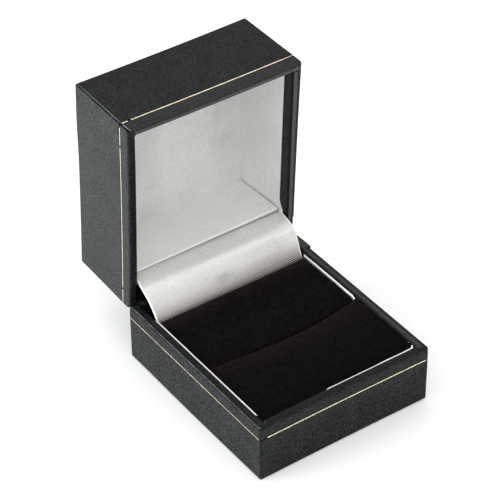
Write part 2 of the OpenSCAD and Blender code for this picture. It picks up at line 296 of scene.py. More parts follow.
def surface(half, d, u, pts=None, wobble=True):
    """points of a covered half at inset d and depth u from its mouth, in the shut frame; returns (n, 3)"""
    H, draft = (BASE_H, 0.08) if half == "base" else (LID_H, 0.08)
    dd = d + (draft * max(u, 0) / H if d < 3 else draft)
    r0 = R0 + 0.34 * math.exp(-max(u, 0) / 1.3)
    g = ring(dd, r0=r0) if pts is None else pts(dd, r0)
    x, y, nx, ny, t, q, side = g.T
    near = 1.0 if d < 2.5 else max(0.0, 1 - (d - 2.5) / 4)
    bow = (np.where(side == 3, 0.0, np.where(side == 1, 0.0, 0.14)) if half == "base" else 0.14) * (1 - t * t) * near
    x, y = x - nx * bow, y - ny * bow
    dx, dy, dz = settle(half, x, y, d, u, H)
    x, y = x + dx, y + dy
    if half == "base" and d < 1.5:
        out = smooth((y - (LAP_Y - 0.1)) / 0.2) * np.where(side == 1, 0.40, np.where(side == 3, 0.13, 0)) * math.exp(-max(u, 0) / 2.5)
        x = x + nx * out
    if half == "lid" and d < 0.3:  # the front sheet ends a little short of the corner, over the side sheet
        sunk = np.where(side == 0, 1 - smooth((x - (SEAM_X + 0.04)) / 0.1), 0) * np.where(x < 0, 1, 0)
        sunk = np.where(side == 13, smooth((x + HW) / r0) * np.where(y < 0, 1, 0), sunk)
        x, y = x - nx * 0.07 * sunk, y - ny * 0.07 * sunk
    drop = nose_drop(y)
    if half == "base":
        # the side walls' laps run back to the hinge line, where they turn down close around it
        wide = smooth((np.abs(x) - 20.3) / 0.1)
        lap = smooth((y - (LAP_Y - 0.1)) / 0.2) * (1 - smooth((y - (HD - 3.1)) / 0.9))
        around = 0.62 ** 2 - (y - HY) ** 2
        full = np.where(y < HY - 0.35, -LAP_T - 0.12 * np.where(x > 0, 1, 0) * (1 - smooth((y - 23.0) / 3.0)), np.where(around > 0, np.maximum(-LAP_T, RIM - HZ - np.sqrt(np.maximum(around, 0))), 0.21 + 2.0 * np.clip((y - HY - 0.62) / 0.72, 0, 1) ** 1.6))
        full = np.where(y < LAP_Y - 0.1, 0, full) * smooth((y - (LAP_Y - 0.1)) / 0.2)
        drop = (drop - LAP_T * lap) * (1 - wide) + full * wide
    else:
        lap = smooth((y - (LAP_Y - 0.2)) / 0.2)
        drop = np.maximum(drop, LAP_T * lap)
        if u < 0.8 and d < 2.2:  # the side strip lies a little lower than the folded front strip over it
            drop = drop + 0.13 * smooth((y - mitre(x)) / 0.12) * (1 - smooth((y + 23.5) / 5.0)) * smooth((x - 22.4) / 0.3) * smooth(np.array((d - 0.2) / 0.3))
    ub = 3.0
    inner = d > 1.9 and u < 6
    uu = np.where(u < ub, drop + u * (ub - drop) / ub, u) if u >= 0 else drop + u
    if inner and u > 0.3:  # the turned-in strip is short on the back wall
        k = 1 - 0.66 * smooth((y - 22.5) / 2.6)
        uu = drop + (u - 0) * k
    if wobble and d < 12:
        w = np.array([ns(a, b, u, 9.0, 3.0 if half == "base" else 11.0) for a, b in zip(x, y)])
        amp = 0.035 if 0.6 < u < H - 0.6 and d < 1 else 0.015
        x, y = x + nx * w * amp, y + ny * w * amp
        if d >= 0.2 and u < 1 and d < 2.2:
            w2 = np.array([ns(a, b, d, 3.5, 5.0 if half == "base" else 23.0) for a, b in zip(x, y)])
            uu = uu - 0.035 * w2 * min(1, d / 0.6)
            # gathers of the turned-in leatherette at the mouth's corners
            fold = np.zeros(len(q))
            for c, a, wd in PLEATS:
                fold += a * np.exp(-(((q - c * (0.6 + 0.4 * d)) / wd) ** 2))
            uu = uu - fold * smooth((d - 0.25) / 0.7) * np.where(y < 20, 1.0, 0.5)
    z = (RIM - uu) if half == "base" else (ZM + uu + dz)
    return np.stack([x, y, z], 1)


def cover(half):
    H = BASE_H if half == "base" else LID_H
    foil = 3.8 if half == "base" else 3.55
    crease = 0.03 if half == "base" else 0.04
    prof = [(2.15, 5.5), (2.15, 4.2), (2.15, 3.0), (2.15, 2.0), (2.15, 1.3), (2.15, 0.8)]
    prof += [(1.7 + 0.45 * math.cos(a), 0.45 - 0.45 * math.sin(a)) for a in np.radians(np.linspace(0, 90, 7))]
    em = 0.5 if half == "base" else 0.75
    prof += [(1.5, -0.012), (1.35, -0.02), (1.2, -0.012), (em + 0.34, -0.004), (em + 0.27, crease * 0.6), (em + 0.2, crease), (em + 0.14, crease * 0.6), (em + 0.07, 0.004)]
    prof += [(em - em * math.sin(a), em - em * math.cos(a)) for a in np.radians(np.linspace(0, 90, 11))]
    prof += [(0, u) for u in (1.0, 1.4, 1.9, 2.4, 2.9)]
    prof += [(0, foil - 0.34), (0.0, foil - 0.27), (0.045, foil - 0.22), (0.045, foil), (0.045, foil + 0.22), (0.0, foil + 0.27), (0, foil + 0.34)]
    prof += [(0, u) for u in np.linspace(foil + 0.9, H - 1.0, 10)]
    er = 0.35 if half == "base" else 0.28
    prof += [(0, H - 0.6)]
    prof += [(er - er * math.cos(a), H - er + er * math.sin(a)) for a in np.radians(np.linspace(0, 90, 7))]
    prof += [(0.8, H), (1.4, H), (2.6, H), (5.0, H), (8.0, H)]
    if half == "lid":
        prof += [(d, H) for d in (10.5, 13.0, 15.5, 18.0, 20.5)]
    rows = [surface(half, d, u) for d, u in prof]
    cols = len(rows[0])
    verts = np.concatenate(rows)
    painted_light_and_paper_attr = np.concatenate([paper_and_painted_light(half, d, u, p, ring(d)) for (d, u), p in zip(prof, rows)])
    faces = grid_faces(len(rows), cols, loop=True)
    if half == "lid":
        last = (len(rows) - 1) * cols
        faces.append(tuple(range(last, last + cols)))
    ob = build(half + "_leatherette", verts, faces)
    a = ob.data.attributes.new("paper_and_painted_light", "FLOAT", "POINT")
    a.data.foreach_set("value", painted_light_and_paper_attr.astype(np.float32))
    # stretched smooth over the rim: the grain is flatter there
    tight = [float(smooth(np.array((d - 0.3) / 0.3))) * (1.0 if u < 0.8 else 0.0) if d < 2.1 else 0.0 for d, u in prof]
    a = ob.data.attributes.new("tight", "FLOAT", "POINT")
    a.data.foreach_set("value", np.repeat(tight, cols).astype(np.float32))
    outward(ob)
    ear_windows(ob, half)
    m = ob.modifiers.new("thick", "SOLIDIFY")
    m.thickness = 0.33 * MM
    m.offset = -1
    m.use_even_offset = True
    m.use_quality_normals = True
    applied(ob)
    if half == "lid":
        co = np.zeros(len(ob.data.vertices) * 3, np.float32)
        ob.data.vertices.foreach_get("co", co)
        ob.data.vertices.foreach_set("co", (opened(co.reshape(-1, 3) / MM) * MM).astype(np.float32).ravel())
        ob.data.update()
    ob.data.shade_smooth()
    ob.data.set_sharp_from_angle(angle=math.radians(50))
    return ob


WIN = 20.75


def ear_windows(ob, half):
    """slots in the back wall for the hinge ears, cut in the single skin before it gets its thickness"""
    bm = bmesh.new()
    bm.from_mesh(ob.data)
    z = HZ - 1.45 if half == "base" else HZ + 1.45
    planes = [((x, 0, 0), (1, 0, 0)) for x in (-22.85, -WIN, WIN, 22.85)] + [((0, 0, z), (0, 0, 1))]
    for co, no in planes:
        near = [f for f in bm.faces if f.calc_center_median().y > 23.3 * MM and abs(f.calc_center_median().z - HZ * MM) < 4 * MM]
        geom = set(near)
        for f in near:
            geom.update(f.verts)
            geom.update(f.edges)
        bmesh.ops.bisect_plane(bm, geom=list(geom), plane_co=Vector(co) * MM, plane_no=no, dist=1e-7)
    gone = []
    for f in bm.faces:
        c = f.calc_center_median() / MM
        if WIN < abs(c.x) < 22.85 and c.y > 24.1 and (c.z > z if half == "base" else c.z < z):
            gone.append(f)
    bmesh.ops.delete(bm, geom=gone, context="FACES")
    bm.to_mesh(ob.data)
    bm.free()


base_leather = cover("base")
lid_leather = cover("lid")


# ---------------------------------------------------------------- foil lines
def foil_line(half, breaks, w, fades=()):
    uc = 3.8 if half == "base" else 3.55
    px = [float(v) for v in np.linspace(-(HW - R0), HW - R0, 160)]
    py = [float(v) for v in np.linspace(-(HD - R0), HD - R0, 170)]

    def pts(dd, r0):
        return ring(dd, px, py, 5, r0)

    g = pts(0.0, R0)
    n = len(g)
    rows = []
    across = [(-1, 0.07), (-1, 0.022), (-0.5, 0.012), (0.5, 0.012), (1, 0.022), (1, 0.07)]
    wob = np.array([ns(a, b, 0, 0.9, 41.0 if half == "base" else 57.0) for a, b in zip(g[:, 0], g[:, 1])])
    wob2 = np.array([ns(a, b, 0, 2.3, 71.0) for a, b in zip(g[:, 0], g[:, 1])])
    base_rows = {}
    for s, d in across:
        key = round(d, 3)
        if key not in base_rows:
            base_rows[key] = surface(half, d, uc, pts)
        p = base_rows[key].copy()
        thin = np.ones(n)
        for side, a, b, k in fades:
            pos = g[:, 0] if side % 2 == 0 else g[:, 1]
            thin = np.where(g[:, 6] == side, 1 - (1 - k) * np.clip((pos - a) / (b - a), 0, 1), thin)
        off = s * (w / 2 + 0.05 * wob) * thin + 0.03 * wob2
        p[:, 2] += off if half == "lid" else -off
        rows.append(p)
    verts = np.concatenate(rows)
    keep = np.ones(n, bool)
    for side, a, b in breaks:
        pos = g[:, 0] if side % 2 == 0 else g[:, 1]
        keep &= ~((g[:, 6] == side) & (pos >= a) & (pos <= b))
    faces = []
    m = len(across)
    for j in range(n):
        jn = (j + 1) % n
        if not (keep[j] and keep[jn]):
            continue
        for i in range(m):
            i2 = (i + 1) % m
            faces.append((i * n + j, i * n + jn, i2 * n + jn, i2 * n + j))
        if not keep[j - 1]:
            faces.append(tuple(i * n + j for i in range(m)))
        if not keep[(jn + 1) % n]:
            faces.append(tuple(i * n + jn for i in reversed(range(m))))
    if half == "lid":
        verts = opened(verts)
    ob = build(half + "_foil", verts, faces, sharp=40)
    bm = bmesh.new()
    bm.from_mesh(ob.data)
    bmesh.ops.delete(bm, geom=[v for v in bm.verts if not v.link_faces], context="VERTS")
    bmesh.ops.recalc_face_normals(bm, faces=bm.faces)
    bm.to_mesh(ob.data)
    bm.free()
    return ob


base_foil = foil_line("base", [(0, -25, -22.75), (10, -99, 99), (13, -99, 99), (0, 24.5, 25)], 0.27, fades=[(3, -100, -99, 0.57)])
lid_foil = foil_line("lid", [(3, -21.5, -21.15), (3, 22.75, 23.05), (0, -22.5, -22.1), (0, -25, -24.3), (13, -99, 99), (3, -28, -27.0)], 0.31, fades=[(0, 20.5, 24.8, 0.35), (3, -100, -99, 0.64)])


# ---------------------------------------------------------------- linings
def u_path(x_in, y_front, y_end, r, step=0.6):
    """left end -> front -> right end, as (x, y, nx, ny) with the normal pointing into the cavity"""
    out = []
    n = int((y_end + y_front - r) / step)
    for y in np.linspace(y_end, -y_front + r, n):
        out.append((-x_in, y, 1, 0))
    for a in np.radians(np.linspace(180, 270, 9))[1:-1]:
        out.append((-x_in + r + r * math.cos(a), -y_front + r + r * math.sin(a), -math.cos(a), -math.sin(a)))
    for x in np.linspace(-x_in + r, x_in - r, int(2 * x_in / step)):
        out.append((x, -y_front, 0, 1))
    for a in np.radians(np.linspace(270, 360, 9))[1:-1]:
        out.append((x_in - r + r * math.cos(a), -y_front + r + r * math.sin(a), -math.cos(a), -math.sin(a)))
    for y in np.linspace(-y_front + r, y_end, n):
        out.append((x_in, y, -1, 0))
    return np.array(out)


def liner(name, z_mouth, z_far, y_end, lid, taper=0.0, seed=0.0):
    """satin over card, thickness 0.5, its mouth edge rounded"""
    t = 0.5
    up = 1 if lid else -1  # direction from mouth to far end
    path = u_path(LIN_X, LIN_Y, y_end, 1.0)
    L = abs(z_far - z_mouth)
    # (offset from the inner face outwards, distance from the mouth edge)
    te = 0.5 if lid else 0.44
    prof = [(t, L), (t, L * 0.5), (t, 2.0), (te + (t - te) * 0.5, 0.7)]
    prof += [(te / 2 + te / 2 * math.cos(a), te / 2 - te / 2 * math.sin(a)) for a in np.radians(np.linspace(0, 180, 9))]
    prof += [(0, v) for v in (0.5, 0.9, 1.5, 2.5, 4.0)] + [(0, v) for v in np.linspace(5.5, L, 8)]
    rows, fab = [], []
    arc_len = np.concatenate([[0], np.cumsum(np.linalg.norm(np.diff(path[:, :2], axis=0), axis=1))])
    for k, (o, v) in enumerate(prof):
        x, y, nx, ny = path.T
        lean = taper * (v / L) ** 1.3
        if lid:  # the right one leans in more towards the rear
            lean = lean + 0.48 * (v / L) ** 1.3 * smooth((y - 4.0) / 16.0) * (x > 0)
        w1 = np.array([ns(a, b, v * 0.6, 5.0, seed) for a, b in zip(x, y)])
        w2 = np.array([ns(a, b, 0, 4.0, seed + 9) for a, b in zip(x, y)])
        edge = max(0.0, 1 - v / 1.2)
        push = lean - o + (0.05 * w1 if o < t * 0.9 else 0)
        if lid:  # soft pillow between the edges
            push = push + 0.10 * math.sin(math.pi * min(1, v / L)) * (1 if o < 0.2 else 0)
        if not lid:  # it dips under the velvet in the left half of the front
            zz_dip = 0.3 * smooth((-3.2 - x) / 1.2) * (y < -LIN_Y + 1.2) * (1 if v < 1.5 else 0)
            zz_dip = zz_dip + 0.34 * smooth((-1.0 - y) / 0.5) * smooth((y + LIN_Y - 2.2) / 1.2) * (x > 0) * (1 if v < 1.5 else 0)
        if not lid:  # less of it shows beside the right wall
            push = push + np.where((x > 10) & (y > -LIN_Y + 2), 0.16 * (o > 0.2), 0.0)
        xx, yy = x + nx * push, y + ny * push
        zz = z_mouth + up * v + 0.06 * w2 * edge
        if not lid:
            zz = zz - zz_dip
        if lid:
            zz = zz - 1.45 * smooth((y - 15.6) / 3.6) ** 1.3 * max(0.0, 1 - v / 4.0)
        rows.append(np.stack([xx, yy, np.full_like(xx, 0) + zz], 1))
        if lid:  # the rolled edge lies in shadow on the right
            tone = -0.6 * (x > 0) * (v < 0.6) * (o > 0.2)
        else:
            # painted highlight along the base lining's rounded top edge
            tone = np.full_like(xx, 1.0 if v < 0.45 else 0.0)
            if v >= 0.45:  # in the slot's mouth it lies in shadow
                tone = tone - 0.8 * (x > 0) * np.exp(-(((y + 1.2) / 1.1) ** 2))
        fab.append(np.stack([arc_len, np.full_like(xx, v), tone], 1))
    verts = np.concatenate(rows)
    cols = len(path)
    m = len(rows)
    faces = grid_faces(m, cols)
    # far end and the two side ends
    for j in range(cols - 1):
        faces.append((0 * cols + j, 0 * cols + j + 1, (m - 1) * cols + j + 1, (m - 1) * cols + j))
    faces.append(tuple(i * cols for i in range(m)))
    faces.append(tuple(i * cols + cols - 1 for i in reversed(range(m))))
    ob = build(name, opened(verts) if lid else verts, faces, sharp=60, attr=np.concatenate(fab))
    return outward(ob)


base_lining = liner("base_satin_lining", RIM - 0.28, FLOOR_Z, WELL_Y - 0.1, False, seed=2.0)
lid_sides = liner("lid_satin_sides", ZM + 3.5, SATIN_Z, WELL_Y + 0.2, True, taper=0.85, seed=6.0)


def slab_panel(name, x_half, a0, a1, to3d, thick, crown, seed, r=0.3, nx=90, ny=80, tilt=None, narrow=None):
    """a satin panel: rounded-edge plate with a crowned face. to3d maps (x, a, h) with h the height out of the face"""
    def prof(v, lo, hi):
        e = np.minimum(v - lo, hi - v)
        return np.where(e < r, r - np.sqrt(np.maximum(0, r * r - (r - e) ** 2)), 0)

    # denser near the edges
    def spread(lo, hi, n):
        mid = np.linspace(lo + 1.2, hi - 1.2, n)
        e = np.array([0, 0.03, 0.1, 0.2, 0.32, 0.5, 0.8])
        return np.concatenate([lo + e, mid, (hi - e)[::-1]])

    X = spread(-x_half, x_half, nx)
    A = spread(a0, a1, ny)
    top, fab = [], []
    for a in A:
        for x in X:
            cr = crown * (1 - (x / x_half) ** 2) ** 0.6 * (1 - ((2 * a - a0 - a1) / (a1 - a0)) ** 2) ** 0.6
            h = thick + cr - prof(np.array(x), -x_half, x_half) - prof(np.array(a), a0, a1)
            h += 0.05 * ns(x, a, 0, 7.0, seed) * min(1, (x_half - abs(x)) / 2)
            if tilt:
                h += tilt(x, a)
            xx = x * (narrow(x, a) if narrow else 1.0)
            top.append(to3d(xx, a, max(h, 0.02)))
            # on the rear panel the third fab coordinate paints shade along the side edges, heavier on the right, and a
            # highlight along the lip at a0
            edge = float(smooth(np.array(1 - (x_half - abs(x)) / 0.26)))
            edge = edge * (1.0 if x > 0 else 0.35)
            fab.append((xx, a, -edge + 0.6 * (1 - edge) * math.exp(-(((a - a0 - 0.18) / 0.12) ** 2)) if narrow else 0.0))
    n0 = len(top)
    cols = len(X)
    faces = grid_faces(len(A), cols)
    # flat underside
    idx = {}
    def under(i, j):
        key = (i, j)
        if key not in idx:
            idx[key] = len(top)
            xx = X[j] * (narrow(X[j], A[i]) if narrow else 1.0)
            top.append(to3d(xx, A[i], 0.0))
            # painted shade on the rear panel's underside
            fab.append((xx, A[i], -1.0 if narrow else 0.0))
        return idx[key]
    rim_idx = [(0, j) for j in range(cols)] + [(i, cols - 1) for i in range(1, len(A))] + [(len(A) - 1, j) for j in range(cols - 2, -1, -1)] + [(i, 0) for i in range(len(A) - 2, 0, -1)]
    for k in range(len(rim_idx)):
        a, b = rim_idx[k], rim_idx[(k + 1) % len(rim_idx)]
        faces.append((a[0] * cols + a[1], b[0] * cols + b[1], under(*b), under(*a)))
    faces.append(tuple(under(*k) for k in rim_idx))
    ob = build(name, top, faces, sharp=60, attr=fab)
    return outward(ob)


def top_panel_3d(x, a, h):  # a runs along shut-frame y, h towards the cavity (shut: down)
    return opened((x, a, LID_FLOOR - 0.5 - h))


def rear_panel_3d(x, a, h):  # a runs along shut-frame z, h towards the cavity (shut: -y)
    return opened((x, WELL_Y + 0.6 - h, a))


def top_fillet(x, a):
    """the top panel's satin runs up into the sides and the rear in a soft corner, with a pucker where three meet"""
    s1 = 0.42 * math.exp(-max(0.0, WELL_Y - 0.1 - 0.36 * (1 + x / LIN_X) - a) / 0.42)
    ex = LIN_X - 0.85 - abs(x)
    s2 = 2.5 * math.exp(-max(0.0, ex + 0.1) / 0.85)
    near = math.exp(-((ex - 0.3) ** 2 + (WELL_Y - 1.2 - a) ** 2) / 7.0)
    rill = 0.07 * (1 + math.sin(3.1 * (ex - 0.45 * (WELL_Y - a)))) * near
    # soft folds of the satin over its padding: a round swell low down, a groove round it, a band and a crease above
    e = 15.2 - math.hypot(x - 5.8, a - 14.6)
    drape = 0.34 * float(smooth(np.array(e / 7.0))) - 0.12 * math.exp(-((e / 0.95) ** 2))
    across = float(smooth(np.array((x + 8.0) / 5.0))) * (1 - float(smooth(np.array((x - 10.5) / 4.0))))
    drape += 0.48 * float(smooth(np.array((a + 10.5) / 7.5))) * across
    drape += 0.16 * math.exp(-(((x - 12.6 - 0.2 * (a + 8)) / 1.3) ** 2)) * (1 - float(smooth(np.array((a - 2.0) / 6.0))))
    drape += 0.45 * math.exp(-((x - 19.0) ** 2 + (a + 10.2) ** 2) / 11.0)
    return max(0.06, s1 + s2 + rill + 1.7 * drape + 0.2)


lid_top = slab_panel("lid_satin_top", LIN_X - 0.04, -LIN_Y + 0.03, WELL_Y + 0.35, top_panel_3d, 0.5, 0.16, 3.0, r=0.25, nx=130, ny=120, tilt=top_fillet)
def rear_narrow(x, a):
    """the rear panel stands a hair clear of the leaning side linings, which leaves the dark line beside it; painted
    shade along the panel's side edges deepens that line
    """
    v = (a - ZM - 3.5) / (SATIN_Z - ZM - 3.5)
    right = 0.48 * float(smooth(np.array((x - 4.0) / 15.0)))
    return (LIN_X - (0.85 + right) * max(0.0, v) ** 1.3 - 0.16) / LIN_X


def rear_tilt(x, a):
    """thicker padding towards the right"""
    return 0.36 * (1 + x / LIN_X)


lid_rear = slab_panel("lid_satin_rear", LIN_X, ZM + 3.5, LID_FLOOR - 0.02, rear_panel_3d, 0.58, 0.05, 13.0, r=0.26, ny=60, tilt=rear_tilt, narrow=rear_narrow)


# ---------------------------------------------------------------- padded pieces: cloth simulation
def puff(ob, pinned, frames=20, voxel=0.7, pressure=4.0, cap=0.3, grow=20.0):
    """cloth under pressure on a coarse copy, made twenty times life size because the solver is tuned for large cloth;
    its movement, capped, is carried over to the piece. pinned(x, y, z) in mm says which points are glued down"""
    scene = bpy.context.scene
    sim = bpy.data.objects.new(ob.name + "_sim", ob.data.copy())
    scene.collection.objects.link(sim)
    sim.data.transform(Matrix.Scale(grow, 4))
    m = sim.modifiers.new("remesh", "REMESH")
    m.mode = "VOXEL"
    m.voxel_size = voxel * MM * grow
    applied(sim)
    n = len(sim.data.vertices)

    def points():
        co = np.zeros(n * 3, np.float32)
        sim.data.vertices.foreach_get("co", co)
        return co.reshape(-1, 3) / (MM * grow)

    before = points()
    g = sim.vertex_groups.new(name="glued")
    g.add([i for i, p in enumerate(before) if pinned(*p)], 1.0, "REPLACE")
    cl = sim.modifiers.new("cloth", "CLOTH")
    st = cl.settings
    st.quality = 6
    st.mass = 0.3
    st.tension_stiffness = st.compression_stiffness = 15
    st.shear_stiffness = 5
    st.bending_stiffness = 0.5
    st.use_pressure = True
    st.uniform_pressure_force = pressure
    st.vertex_group_mass = "glued"
    st.effector_weights.gravity = 0
    cl.collision_settings.use_collision = False
    cl.point_cache.frame_start, cl.point_cache.frame_end = 1, frames
    for f in range(1, frames + 1):
        scene.frame_set(f)
    applied(sim)
    move = points() - before
    size = np.linalg.norm(move, axis=1)
    print("cloth", ob.name, "points", n, "moved up to", round(float(size.max()), 3), "mm")
    limit = np.tanh(size / cap) * cap
    move *= (limit / np.maximum(size, 1e-9))[:, None]
    tree = kdtree.KDTree(n)
    for i, p in enumerate(before):
        tree.insert(p, i)
    tree.balance()
    for v in ob.data.vertices:
        w, acc = 0.0, np.zeros(3)
        for _, i, d in tree.find_n(v.co / MM, 8):
            k = 1.0 / (d + 0.15) ** 2
            w += k
            acc += k * move[i]
        v.co += Vector(acc / w) * MM
    ob.data.update()
    scene.frame_set(1)
    bpy.data.objects.remove(sim)


# ---------------------------------------------------------------- velvet pads
def slot_line(x):
    """the ring slot bows towards the front, a little right of the middle"""
    return -3.95 + (0.0026 if x < 3.5 else 0.0064) * (x - 3.5) ** 2


def pad(name, rear, z_top, seed, inset=0.0):
    """closed cushion block with rolled shoulders, spread over the lining's edge where the foam pushes it out;
    with an inset it is the foam inside"""
    X1, YF = LIN_X - 0.06 - inset, -LIN_Y + 0.06 + inset

    def spread_list(lo, hi, n, fine):
        e = np.array(fine)
        return np.concatenate([lo + e, np.linspace(lo + e[-1] + 0.4, hi - e[-1] - 0.4, n), (hi - e)[::-1]])

    fine = [0, 0.05, 0.12, 0.22, 0.36, 0.54, 0.76, 1.02, 1.34, 1.74, 2.2]
    X = spread_list(-1.0, 1.0, 84, [v / X1 for v in fine])
    lo, hi = (-2.0, WELL_Y - 0.06 - inset) if rear else (YF, -2.3)
    half = (hi - lo) / 2
    Y = spread_list(-1.0, 1.0, 44, [v / half for v in fine])

    def over_front(x):  # 1 where the velvet covers the front lining
        return 1 - float(smooth(np.array((x + 4.6) / 1.6)))

    def over_left(y):
        return 1 - float(smooth(np.array((y + 21.9) / 1.4)))

    def over_right(y):
        return 0.0 if rear else 1 - float(smooth(np.array((y + 2.7) / 0.35)))

    def roll(e, r):
        return r - math.sqrt(max(0.0, r * r - (r - e) ** 2)) if e < r else 0.0

    top, fab, wall = [], [], []
    for fy in Y:
        for fx in X:
            yn = lo + (fy + 1) * half
            sl, sr = (0.0, 0.0) if rear or inset else (over_left(yn), over_right(yn))
            x0, x1 = -X1 - 0.58 * sl, X1 + 0.58 * sr
            x = x0 + (x1 - x0) * (fx + 1) / 2
            sf = 0.0 if rear or inset else over_front(x)
            wav = 0.06 * ns(x, 0, 0, 2.2, seed + 50)
            if rear:
                y0, y1 = slot_line(x) + 0.06 + wav + inset, hi
            else:
                y0, y1 = YF - 0.58 * sf, slot_line(x) - 0.04 + wav - inset
            y = y0 + (y1 - y0) * (fy + 1) / 2
            if not rear:  # round the two front corners to the lining
                r = 1.0
                a, b = abs(x) - (max(x1, -x0) - r if x > 0 else -x0 - r), (y0 + r) - y
                if a > 0 and b > 0:
                    a2 = a * math.sqrt(max(0, 1 - min(b, r) ** 2 / (2 * r * r)))
                    b2 = b * math.sqrt(max(0, 1 - min(a, r) ** 2 / (2 * r * r)))
                    x += math.copysign(a2 - a, x)
                    y -= b2 - b
            el, er, ef, eb = (fx + 1) / 2 * (x1 - x0), (1 - fx) / 2 * (x1 - x0), (fy + 1) / 2 * (y1 - y0), (1 - fy) / 2 * (y1 - y0)
            z = z_top - 0.02 + 0.09 * max(sr * math.exp(-er / 1.6), sl * math.exp(-el / 1.6), sf * math.exp(-ef / 1.6))
            z -= roll(el, 0.75 - 0.6 * sl) + roll(er, (0.32 if rear else 0.7) - 0.55 * sr)
            if rear:
                z += 0.28 * math.exp(-er / 2.2)
            if rear:
                z -= roll(ef, 1.3) + roll(eb, 0.9) + 0.25 * math.exp(-ef / 2.5)
            else:
                z -= roll(ef, 0.6 - 0.45 * sf) + roll(eb, 1.35)
            z += 0.06 * ns(x, y, 0, 6.5, seed) + 0.02 * ns(x, y, 0, 2.0, seed + 4)
            top.append((x, y, z))
            fab.append((x, y, z))
    cols, rows = len(X), len(Y)
    faces = grid_faces(rows, cols)
    rim_idx = [(0, j) for j in range(cols)] + [(i, cols - 1) for i in range(1, rows)] + [(rows - 1, j) for j in range(cols - 2, -1, -1)] + [(i, 0) for i in range(rows - 2, 0, -1)]
    edge = [i * cols + j for i, j in rim_idx]
    prev = edge
    for z in (None, 12.0, 8.0, FLOOR_Z + 1.02):
        cur = []
        for k in edge:
            x, y, zz = top[k]
            x = min(max(x, -X1), X1)
            y = min(max(y, YF), hi if rear else 99)
            if not rear and y < YF + 0.9 and abs(x) > X1 - 0.9:  # stay inside the lining's round corner
                a, b = abs(x) - (X1 - 0.9), YF + 0.9 - y
                k2 = 0.9 / max(0.9, math.hypot(a, b))
                x, y = math.copysign(X1 - 0.9 + a * k2, x), YF + 0.9 - b * k2
            cur.append(len(top))
            top.append((x, y, min(16.16, zz - 0.05) if z is None else z))
            fab.append((x, y, top[-1][2]))
        for k in range(len(cur)):
            k2 = (k + 1) % len(cur)
            faces.append((prev[k], prev[k2], cur[k2], cur[k]))
        prev = cur
    faces.append(tuple(prev))
    ob = outward(build(name, top, faces, attr=fab))
    if inset:
        return ob
    hold = 14.6 if rear else 15.0
    puff(ob, lambda x, y, z: z < hold or (not rear and z < 16.1 and (abs(x) > X1 - 0.5 or y < YF + 0.5)), cap=0.22)
    return ob


velvet_front = pad("velvet_front", False, RIM - 0.35, 5.0)
velvet_rear = pad("velvet_rear", True, RIM - 0.85, 8.0)


foam_front = pad("foam_front", False, RIM - 0.95, 5.0, inset=0.55)
foam_rear = pad("foam_rear", True, RIM - 1.45, 8.0, inset=0.55)


def glued_panel(x, y, z):
    """the top panel's edges and back, in the open frame: only its face swells"""
    y0, z0 = y - HY, z - HZ
    c, k = math.cos(OPEN), math.sin(OPEN)
    a, zz = HY + y0 * c - z0 * k, HZ + y0 * k + z0 * c
    return abs(x) > LIN_X - 1.6 or a < -LIN_Y + 0.8 or a > WELL_Y - 0.8 or zz > LID_FLOOR - 0.75


puff(lid_top, glued_panel, cap=0.25)


# ---------------------------------------------------------------- satin flap and spring
def catmull(p, n):
    p = np.array(p, float)
    out = []
    for i in range(len(p) - 1):
        a, b, c, d = p[max(i - 1, 0)], p[i], p[i + 1], p[min(i + 2, len(p) - 1)]
        for j in range(n):
            t = j / n
            out.append(0.5 * (2 * b + (c - a) * t + (2 * a - 5 * b + 4 * c - d) * t * t + (3 * b - a - 3 * c + d) * t ** 3))
    out.append(p[-1])
    return np.array(out)


FLAP_R = [(4.4, 6.0), (3.2, 6.3), (2.4, 6.6), (1.4, 7.0), (0.0, 6.8), (-2.2, 6.2), (-4.1, 5.7), (-4.8, 4.9), (-5.2, 4.0), (-5.6, 3.1), (-6.1, 2.0), (-6.5, 0.8), (-6.9, -0.2), (-7.4, -1.1), (-7.7, -2.2), (-7.7, -4.9)]
FLAP_L = [(4.4, 5.95), (3.2, 6.3), (2.4, 6.5), (1.5, 6.65), (0.7, 6.6), (-0.1, 6.4), (-0.8, 6.1), (-2.2, 5.4), (-3.6, 4.55), (-5.0, 3.65), (-6.2, 2.5), (-7.3, 1.4), (-8.1, 0.3), (-8.6, -0.8), (-8.6, -2.2), (-8.3, -4.9)]


FLAP_SHADE = (0.58, 0.80)  # shares of the run: the gathered foot, with painted shade where it goes down behind the pad
